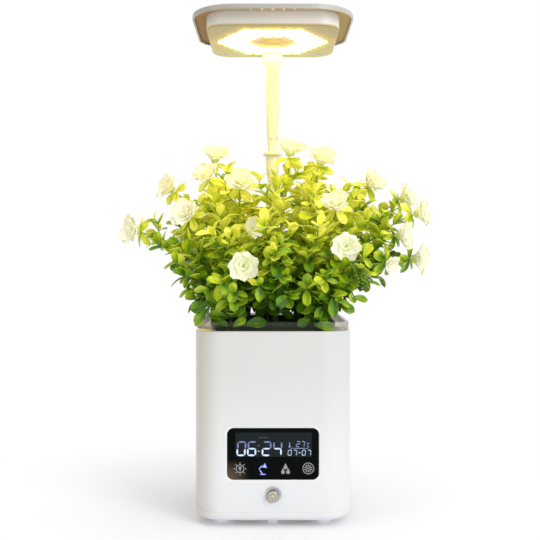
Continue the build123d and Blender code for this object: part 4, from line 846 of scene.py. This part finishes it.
class Plant:
    """The plant of one basket: its stems, leaves and flowers so far."""

    def __init__(self, name, across, along):
        self.name = name
        self.root = Vector((across, along, 0)) * MM + Vector((0, 0, SPONGE_TOP - ROOT_DEPTH))
        self.chance = random.Random(name)
        self.leaves = []
        self.flowers = []
        self.curve = bpy.data.curves.new(name + "_stems", "CURVE")
        self.curve.dimensions = "3D"
        self.curve.bevel_depth = 1.0
        self.curve.bevel_resolution = 2
        self.curve.resolution_u = 10
        self.curve.use_fill_caps = True

    def add_stem(self, line, thick):
        """Adds a round stem along four points."""
        spline = self.curve.splines.new("BEZIER")
        spline.bezier_points.add(1)
        start, leaving, arriving, end = line
        first, last = spline.bezier_points
        first.co, first.handle_right = start, leaving
        first.handle_left = start - (leaving - start) * 0.1
        last.co, last.handle_left = end, arriving
        last.handle_right = end + (end - arriving) * 0.1
        first.radius, last.radius = thick[0] / 2, thick[1] / 2

    def add_sprig(self, tip, facing, size):
        """A sprig with its leaves and twigs, and a flower where it has a facing."""
        line = self.sprig_line(tip, facing)
        self.add_stem(line, SPRIG_THICK)
        first = 0.30 if tip.z - COLLAR_TOP > LOW_TIP else 0.14
        last = 0.86 if facing else 0.97
        self.add_leaves(line, first, last, 1.0)
        self.add_twigs(line)
        if facing:
            self.add_flower(tip, facing, size)

    def sprig_line(self, tip, facing):
        """A sprig's four points: it stands up from its basket, parts from the others at the
        crown and runs out to its tip."""
        chance, root = self.chance, self.root
        crown = Vector((root.x, root.y, COLLAR_TOP + CROWN_RISE))
        reach = tip - crown
        start = root + Vector((chance.uniform(-5, 5), chance.uniform(-5, 5), 0)) * MM
        sway = Vector((chance.uniform(-1, 1), chance.uniform(-1, 1), chance.uniform(-0.4, 1)))
        lift = Vector((0, 0, 0.07 * reach.length))
        bend = crown + reach * 0.60 + lift + sway * reach.length * 0.06
        if facing:
            bend = bend * 0.55 + (tip - facing * reach.length * 0.4) * 0.45
        return [start, crown + (start - root) * 0.5, bend, tip]

    def add_leaves(self, line, first, last, size):
        """Sets pairs of leaves along a line, each pair turned from the last; first and last are
        shares of its length."""
        chance = self.chance
        length = (line[3] - line[0]).length * BOW
        count = max(2, int(length * (last - first) / LEAF_STEP))
        turn = chance.uniform(0, pi)
        for step in range(count + 1):
            done = step / count
            t = first + (last - first) * done
            at = bezier(line, t)
            way = heading(line, t)
            side = way.cross(Vector((0.13, 0.21, 1))).normalized()
            lift = way.cross(side)
            turn += pi / 2 + chance.uniform(-0.35, 0.35)
            closer = 0.45 + 0.75 * done
            for half in (0, pi):
                out = side * cos(turn + half) + lift * sin(turn + half)
                aim = out + way * closer * chance.uniform(0.7, 1.3)
                aim = (aim + Vector((0, 0, chance.uniform(-0.1, 0.25)))).normalized()
                scale = size * chance.uniform(0.72, 1.12) * (1.0 - 0.18 * done)
                if has_room(at, at + aim * LEAF_LENGTH * scale):
                    up = way * 0.8 + Vector((0, 0, 0.9)) - aim * 0.2
                    kind = chance.randrange(len(LEAF_BENDS))
                    matrix = leaf_matrix(at, aim, up, scale, chance)
                    tint = min(1.0, max(0.0, chance.gauss(0.42 + 0.22 * done, 0.17)))
                    self.leaves.append((kind, matrix, tint))

    def add_twigs(self, line):
        """Side twigs with leaves."""
        chance = self.chance
        length = (line[3] - line[0]).length
        for number in range(int(length * TWIG_SHARE / TWIG_STEP)):
            t = TWIGS_FROM + number * TWIG_STEP / length + chance.uniform(-0.03, 0.03)
            if t > TWIGS_TO:
                break
            at = bezier(line, t)
            way = heading(line, t)
            around = chance.uniform(0, 2 * pi)
            side = way.cross(Vector((0.1, 0.2, 1))).normalized()
            out = side * cos(around) + way.cross(side) * sin(around)
            reach = TWIG_LENGTH * chance.uniform(0.75, 1.2)
            end = at + (out * 0.85 + way * 0.6 + Vector((0, 0, 0.25))).normalized() * reach
            if has_room(at, end + (end - at).normalized() * TWIG_ROOM):
                twig = [at, at + (out + way * 0.4) * reach * 0.35, end - way * reach * 0.3, end]
                self.add_stem(twig, TWIG_THICK)
                self.add_leaves(twig, 0.35, 0.97, 0.88)

    def add_flower(self, tip, facing, size):
        """A flower with leaves round its foot: an open one where it faces straight forwards, and
        a cup elsewhere."""
        chance = self.chance
        across = facing.orthogonal().normalized()
        lift = facing.cross(across)
        size *= chance.uniform(0.94, 1.08)
        spin = Matrix.Rotation(chance.uniform(0, 2 * pi), 4, "Z")
        place = Matrix.Translation(tip) @ axes_matrix(across, lift, facing) @ spin
        kind = (0 if facing.y < -0.9 else 2) + chance.randrange(2)
        self.flowers.append((kind, place @ Matrix.Diagonal((size, size, size, 1)), None))
        for number in range(SEPALS):
            around = 2 * pi * number / SEPALS + chance.uniform(-0.2, 0.2)
            out = across * cos(around) + lift * sin(around)
            aim = (out - facing * 0.15).normalized()
            if has_room(tip, tip + aim * SEPAL_ROOM):
                kind = chance.randrange(3)
                matrix = leaf_matrix(tip - facing * SEPAL_DROP, aim, facing, SEPAL_SIZE, chance)
                self.leaves.append((kind, matrix, chance.uniform(0.55, 0.9)))

    def add_shoots(self):
        """Short bare stems that fill the basket."""
        chance = self.chance
        for _ in range(SHOOTS):
            foot = self.root + Vector((chance.uniform(-6, 6), chance.uniform(-5, 5), 0)) * MM
            way = Vector((chance.uniform(-0.22, 0.22), chance.uniform(-0.2, 0.1), 1))
            rise = way * chance.uniform(38, 62) * MM
            sway = Vector((chance.uniform(-3, 3), 0, 0)) * MM
            line = [foot, foot + rise * 0.35 + sway, foot + rise * 0.7, foot + rise]
            self.add_stem(line, SHOOT_THICK)

    def hang_leaf(self, foot, tip, tint):
        """A leaf from foot to tip, its upper side to the front."""
        size = (tip - foot).length / LEAF_LENGTH
        kind = self.chance.randrange(2)
        matrix = leaf_matrix(foot, tip - foot, Vector((0, -1, 0.6)), size, self.chance)
        self.leaves.append((kind, matrix, tint))

    def make_pieces(self, leaf_set, flower_set, finishes):
        """Makes the plant's three pieces, its leaves in place of its solid."""
        pick(new_object(self.name + "_stems", self.curve))
        bpy.ops.object.convert(target="MESH")
        stems = bpy.context.object
        foliage = join_copies(self.name + "_leaves", leaf_set, self.leaves)
        blooms = join_copies(self.name + "_flowers", flower_set, self.flowers)
        for piece, kind in ((stems, "stem"), (foliage, "leaf"), (blooms, "petal")):
            wear(piece, finishes[kind], 60)
            settle(piece, "tray")
        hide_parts(self.name)


def build_plants():
    finishes = {"leaf": leaf_finish(), "stem": stem_finish(), "petal": petal_finish()}
    chance = random.Random(11)
    leaf_set = [leaf_blank(number, *bends) for number, bends in enumerate(LEAF_BENDS)]
    petals = [petal_blank(number, *bends) for number, bends in enumerate(PETAL_BENDS)]
    flower_set = [
        flower_blank(f"flower_blank_{number}", rings, petals, chance)
        for number, rings in enumerate([OPEN_RINGS, OPEN_RINGS, CUP_RINGS, CUP_RINGS])
    ]
    for name, ((across, along), tips) in SPRIGS.items():
        plant = Plant(name, across, along)
        for tip in tips:
            facing = Vector(FACINGS[tip]).normalized() if tip in FACINGS else None
            plant.add_sprig(Vector(tip) * MM, facing, SMALL_FLOWERS.get(tip, 1.0))
        plant.add_shoots()
        for foot, tip, tint in HANGING[name]:
            plant.hang_leaf(Vector(foot) * MM, Vector(tip) * MM, tint)
        plant.make_pieces(leaf_set, flower_set, finishes)
    drop_blanks([*leaf_set, *petals, *flower_set])


# ---------------------------------------------------------------- clock panel
# Places on the lens are in millimetres: across from its middle and up from the table.
SIGN_PROUD = 0.06 * MM        # how far the signs stand in front of the lens
CORE_PROUD = 0.14 * MM        # and the bright cores of the lamp's sign
SIGN_THICK = 0.10 * MM
DIGIT_SLANT = 0.09
SEGMENTS = {                  # which of the seven bars each sign lights
    "0": "abcdef", "2": "abged", "4": "fgbc", "6": "afgedc", "7": "abc", "-": "g", "C": "afed",
}
BARS = {                      # middle of each bar, across and up from -1 to 1, and whether it stands
    "a": (0, 1, False), "b": (1, 0.5, True), "c": (1, -0.5, True), "d": (0, -1, False),
    "e": (-1, -0.5, True), "f": (-1, 0.5, True), "g": (0, 0, False),
}
CLOCK_DIGIT = (8.6, 13.8, 1.75)           # width, height and stroke
WARMTH_DIGIT = (3.6, 5.6, 0.75)
DATE_DIGIT = (3.6, 5.4, 0.75)
UNIT_LETTER = (2.4, 3.8, 0.6)
WEEK_START, WEEK_PITCH, WEEK_UP = -11.8, 2.1, 82.6
SUN = (-29.9, 54.3)
DROPS = ((11.4, 56.3), (9.1, 52.0), (13.7, 52.0))
WHEEL = (32.1, 54.6)
BAR, DOT, RING, WEDGE, THIN_RING = range(5)         # the shapes that signs are made of
LAMP_ICON = [                 # shape, place, its half width and height, those of its core, and turn
    (BAR, (-9.2, 49.3), (3.3, 0.65), (2.3, 0.26), 0),
    (BAR, (-10.9, 51.6), (3.0, 0.62), (2.2, 0.25), 52),
    (BAR, (-11.3, 55.6), (2.7, 0.62), (1.9, 0.25), -48),
    (WEDGE, (-7.6, 56.7), (3.1, 3.1), (1.7, 1.7), 128),
]


def flat_blank(name, vertices):
    """A thin flat polygon of radius 1 in the XZ plane, facing -Y."""
    fresh()
    bpy.ops.mesh.primitive_cylinder_add(
        vertices=vertices, radius=1, depth=1, rotation=(radians(90), 0, 0)
    )
    blank = bpy.context.object
    blank.name = name
    bpy.ops.object.transform_apply(location=False, rotation=True, scale=False)
    fresh()
    return blank


def ring_blank(name, inner):
    """A flat ring of radius 1 whose opening has the radius inner, facing -Y."""
    blank = flat_blank(name, 40)
    shape = editing(blank)
    for face in shape.faces:
        face.select = abs(face.normal.y) > 0.9
    bmesh.update_edit_mesh(blank.data)
    bpy.ops.mesh.inset(thickness=1 - inner)
    bpy.ops.mesh.bridge_edge_loops()
    fresh()
    return blank


def mark(kind, place, half, angle=0, proud=SIGN_PROUD):
    """A copy of a shape on the lens, from its half width and half height."""
    (x, z), (wide, high) = place, half
    matrix = Matrix.Translation((x * MM, LENS_LOW.y - proud, z * MM)) \
        @ Matrix.Rotation(radians(angle), 4, "Y") \
        @ Matrix.Diagonal((wide * MM, SIGN_THICK, high * MM, 1))
    return kind, matrix, None


def digit(sign, left, low, size):
    """The lit bars of one digit."""
    wide, high, stroke = size
    middle_x, middle_z = left + wide / 2, low + high / 2
    half_x, half_z = (wide - stroke) / 2, (high - stroke) / 2
    places = []
    for bar in SEGMENTS[sign]:
        across, up, stands = BARS[bar]
        length = (half_z if stands else 2 * half_x) - stroke * 0.28
        place = (middle_x + across * half_x + DIGIT_SLANT * up * half_z, middle_z + up * half_z)
        places.append(mark(BAR, place, (length / 2 + stroke * 0.12, stroke / 2), -90 if stands else 0))
    return places


def digits(signs, low, size):
    """A row of digits; signs are (sign, left end)."""
    return [place for sign, left in signs for place in digit(sign, left, low, size)]


def spokes(middle, count, reach, half, start=0):
    """Bars that point away from a middle, evenly round it."""
    places = []
    for number in range(count):
        angle = start + 360 * number / count
        x = middle[0] + reach * cos(radians(angle))
        z = middle[1] + reach * sin(radians(angle))
        places.append(mark(BAR, (x, z), half, -angle))
    return places


def clock_marks():
    """The time, with its two dots."""
    time = digits((("0", -33.0), ("6", -23.4), ("2", -10.1), ("4", -0.2)), 65.7, CLOCK_DIGIT)
    return time + [mark(DOT, (-13.0, z), (0.55, 0.55)) for z in (75.3, 70.3)]


def small_marks():
    """The temperature with a thermometer, and the date below a line."""
    warmth = digits((("2", 20.9), ("7", 25.2)), 73.9, WARMTH_DIGIT)
    unit = [mark(RING, (30.3, 78.1), (0.62, 0.62)), *digit("C", 31.2, 73.9, UNIT_LETTER)]
    thermometer = [mark(DOT, (15.1, 74.5), (0.95, 0.95)), mark(BAR, (15.1, 76.7), (2.0, 0.42), 90)]
    line = [mark(BAR, (24.0, 72.9), (9.8, 0.22))]
    date = digits((("0", 13.4), ("7", 18.2), ("-", 22.4), ("0", 26.2), ("7", 31.0)), 66.2, DATE_DIGIT)
    return warmth + unit + thermometer + line + date


def sun_marks(x, z):
    """A bulb in a ring with rays."""
    return [
        mark(RING, (x, z), (3.9, 3.9)), *spokes((x, z), 8, 5.1, (0.95, 0.36)),
        mark(DOT, (x, z + 0.7), (1.35, 1.35)), mark(BAR, (x, z - 1.6), (0.9, 0.45), 90),
    ]


def drop_marks(x, z):
    """One drop of water."""
    return [mark(DOT, (x, z - 0.7), (1.75, 1.75)), mark(WEDGE, (x, z + 1.15), (1.6, 1.9))]


def wheel_marks(x, z):
    """A wheel with spokes."""
    rim = mark(THIN_RING, (x, z), (5.3, 5.3))
    return [rim, *spokes((x, z), 10, 2.7, (1.5, 0.46), 18), mark(DOT, (x, z), (0.75, 0.75))]


def build_signs():
    """The clock, temperature and date, and the row of pictograms."""
    blanks = [
        flat_blank("bar_blank", 6), flat_blank("dot_blank", 24), ring_blank("ring_blank", 0.82),
        flat_blank("wedge_blank", 3), ring_blank("thin_ring_blank", 0.88),
    ]
    week = [
        mark(BAR, (WEEK_START + WEEK_PITCH * number, WEEK_UP), (0.72, 0.30)) for number in range(4)
    ]
    icons = sun_marks(*SUN) + wheel_marks(*WHEEL)
    for place in DROPS:
        icons += drop_marks(*place)
    lamp = [mark(kind, place, half, angle) for kind, place, half, _, angle in LAMP_ICON]
    core = [mark(kind, place, half, angle, CORE_PROUD) for kind, place, _, half, angle in LAMP_ICON]
    clock_blue = lit_finish(
        "clock_blue", (0.62, 0.78, 1.0), 1.15, (0.13, 0.17, 0.36), 72.4 * MM, 73.8 * MM,
    )
    sign_blue = lit_finish(
        "sign_blue", (0.52, 0.66, 0.92), 1.0, (0.26, 0.34, 0.62), 72.2 * MM, 73.5 * MM,
    )
    for name, places, finish in (
        ("clock_digits", clock_marks(), clock_blue),
        ("small_signs", small_marks(), sign_blue),
        ("weekday_marks", week, lit_finish("sign_faint", (0.20, 0.24, 0.42), 0.6)),
        ("status_icons", icons, lit_finish("icon_grey", (0.42, 0.42, 0.42), 0.75)),
        ("lamp_icon", lamp, lit_finish("icon_blue", (0.16, 0.20, 1.0), 1.0)),
        ("lamp_icon_core", core, lit_finish("icon_white", (0.62, 0.68, 1.0), 1.1)),
    ):
        piece = join_copies(name, blanks, places)
        wear(piece, finish)
        settle(piece, "pot")
    drop_blanks(blanks)


# ---------------------------------------------------------------- vents
VENT_COUNT = 11
VENT_PITCH = 10 * MM
VENT_Y = -63.3 * MM
VENT_LONG, VENT_WIDE, VENT_DEEP = 6.8 * MM, 2.6 * MM, 0.2 * MM


def vent_finish():
    """Amber light, brightest near the middle of the row."""
    finish = Finish("vent_amber", (0.34, 0.22, 0.09))
    near = abs(finish.place()[0] - 3 * MM).fall(0.0, 42 * MM)
    finish.glow(finish.blend(near, (0.12, 0.07, 0.02), (1.0, 0.46, 0.06)))
    return finish


def build_vent_lights():
    """The row of light that leaks through the vents in front of the lamp."""
    dot = flat_blank("vent_blank", 20)
    size = Matrix.Diagonal((VENT_WIDE / 2, VENT_DEEP / 2, VENT_LONG / 2, 1))
    places = []
    for number in range(VENT_COUNT):
        x = (number - (VENT_COUNT - 1) / 2) * VENT_PITCH
        spot = Matrix.Translation((x, VENT_Y, LINER_LOW.z - VENT_DEEP / 2))
        places.append((0, spot @ Matrix.Rotation(radians(90), 4, "X") @ size, None))
    piece = join_copies("vent_lights", [dot], places)
    wear(piece, vent_finish())
    settle(piece, "lamp")
    drop_blanks([dot])


# ---------------------------------------------------------------- finishes of the CAD nodes
def foot_finish():
    """Soft grey rubber with a painted glow that lifts it from the shadow under the pot."""
    finish = moulded("soft_grey", (0.74, 0.745, 0.78), 0.55, 700, 0.08 * MM)
    # Painted glow: the feet glow so that they stand out from the shadow.
    finish.glow((0.40, 0.41, 0.45), 0.62)
    return finish


def dress_nodes():
    # Painted shade: the deck nearly black-green, for the shadow under the plants.
    deck = moulded(
        "deck_dark", (0.026, 0.040, 0.018), 0.75, 800, 0.06 * MM, 0.2, specular_ior_level=0.2,
    )
    looks = [
        (shell_finish(), "outer_shell base_cover"),
        (foot_finish(), "rubber_feet centre_rest"),
        (lens_finish(), "display_lens"),
        (moulded("display_dark", (0.02, 0.022, 0.024), 0.5), "display_module"),
        (button_finish(), "control_button"),
        (tray_finish(), "planting_tray"),
        (deck, "pod_deck"),
        (moulded("basket_black", (0.020, 0.026, 0.020), 0.5), "net_baskets"),
        (moulded("sponge_brown", (0.060, 0.042, 0.026), 0.95, 500, 0.8 * MM, 0.4), "grow_sponges"),
        (moulded("tank_grey", (0.52, 0.55, 0.55), 0.45), "water_tank pole_socket"),
        (moulded("hose_clear", (0.62, 0.66, 0.66), 0.35), "outlet_tube"),
        (moulded("board_green", (0.02, 0.13, 0.05), 0.4), "control_board"),
        (moulded("fan_black", (0.015, 0.015, 0.016), 0.42),
         "tact_switch power_jack pump_body pump_cover pole_plug rod_glide fan_frame fan_rotor"),
        (brushed("steel", (0.62, 0.59, 0.54), 0.30),
         "base_screws board_screws jack_nut pole_screw neck_nut"),
        (pole_finish("pole_white", 0.28), "lower_pole inner_rod"),
        (pole_finish("pole_plastic", 0.34), "guide_bush stop_collar mast_tube lamp_neck"),
        (lamp_finish(), "pump_impeller lamp_housing"),
        (light_finish(), "lens_sheet"),
        (moulded("board_white", (0.75, 0.72, 0.6), 0.5), "led_board"),
        (brushed("sink_metal", (0.75, 0.76, 0.77), 0.32, (1, 0.1, 1)), "heat_sink"),
        (grille_finish(), "fan_grille"),
        (liner_finish(), "cap_liner"),
        (cap_finish(), "lamp_cap"),
        (brushed("head_steel", (0.60, 0.50, 0.28), 0.35), "head_screws"),
    ]
    for finish, nodes in looks:
        for node in nodes.split():
            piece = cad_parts[node]
            piece.data.materials.clear()
            piece.data.materials.append(finish.material)


# ---------------------------------------------------------------- studio
FLOOR_SIDE = 9
WORLD_LEVEL = 0.6
LAMPS = [                     # name, place, target, size, power in watts and colour
    ("key", (0.9, -1.1, 0.9), (0, 0, 0.15), (0.7, 1.0), 11, (1.0, 1.0, 1.0)),
    ("fill", (-1.1, -0.9, 0.7), (0, 0, 0.2), (0.6, 0.9), 2.2, (1.0, 0.88, 0.72)),
    ("top", (0.0, 0.1, 1.6), (0, 0, 0.2), (1.1, 1.1), 8, (1.0, 1.0, 1.0)),
]

# the camera stands level in front, a little under the plants' middle
CAMERA_PLACE = (-2.7 * MM, -864 * MM, 245.6 * MM)
FOCAL_PIXELS = 873
IMAGE_PIXELS = 540
HORIZON_ABOVE_MIDDLE = 12     # in pixels
SENSOR = 36                   # in millimetres


def floor_finish():
    """White to the camera, most of all away from the pot, while the shadow near it stays."""
    finish = Finish("floor_white", (0.97, 0.972, 0.99), roughness=1.0, specular_ior_level=0.0)
    across, along, _ = finish.place()
    far = distance(across, along).rise(110 * MM, 380 * MM)
    white = finish.node("ShaderNodeEmission", None, {"Color": (1.0, 1.0, 1.0), "Strength": 1.0})
    mix = finish.node("ShaderNodeMixShader", None, {
        0: finish.seen() * (far * 0.88 + 0.12), 1: finish.shader.outputs[0], 2: white.outputs[0],
    })
    finish.feed(finish.nodes["Material Output"].inputs["Surface"], mix.outputs[0])
    return finish


def build_floor():
    fresh()
    bpy.ops.mesh.primitive_plane_add(size=FLOOR_SIDE)
    floor = bpy.context.object
    floor.name = "floor"
    floor.data.materials.append(floor_finish().material)


def build_world():
    """A white world: at full strength where it is seen, and less as a light."""
    world = bpy.data.worlds.new("studio")
    bpy.context.scene.world = world
    world.use_nodes = True
    tree = Tree(world.node_tree)
    background = tree.nodes["Background"]
    tree.feed(background.inputs["Color"], (1.0, 1.0, 1.0))
    tree.feed(background.inputs["Strength"], tree.seen() * (1 - WORLD_LEVEL) + WORLD_LEVEL)


def build_lamps():
    for name, place, target, size, power, color in LAMPS:
        lamp = bpy.data.lights.new(name, "AREA")
        lamp.shape = "RECTANGLE"
        lamp.size, lamp.size_y = size
        lamp.energy = power
        lamp.color = color
        holder = new_object(name, lamp)
        holder.location = place
        holder.rotation_euler = (Vector(target) - Vector(place)).to_track_quat("-Z", "Y").to_euler()


def build_camera():
    camera = bpy.data.cameras.new("camera")
    camera.sensor_width = SENSOR
    camera.lens = SENSOR * FOCAL_PIXELS / IMAGE_PIXELS
    camera.shift_y = -HORIZON_ABOVE_MIDDLE / IMAGE_PIXELS
    camera.clip_start = 10 * MM
    holder = new_object("camera", camera)
    holder.location = CAMERA_PLACE
    holder.rotation_euler = (radians(90), 0, 0)
    bpy.context.scene.camera = holder


# ---------------------------------------------------------------- all together
bpy.context.scene.view_settings.view_transform = "Standard"
build_camera()
build_floor()
build_world()
build_lamps()
dress_nodes()
build_signs()
build_vent_lights()
build_plants()
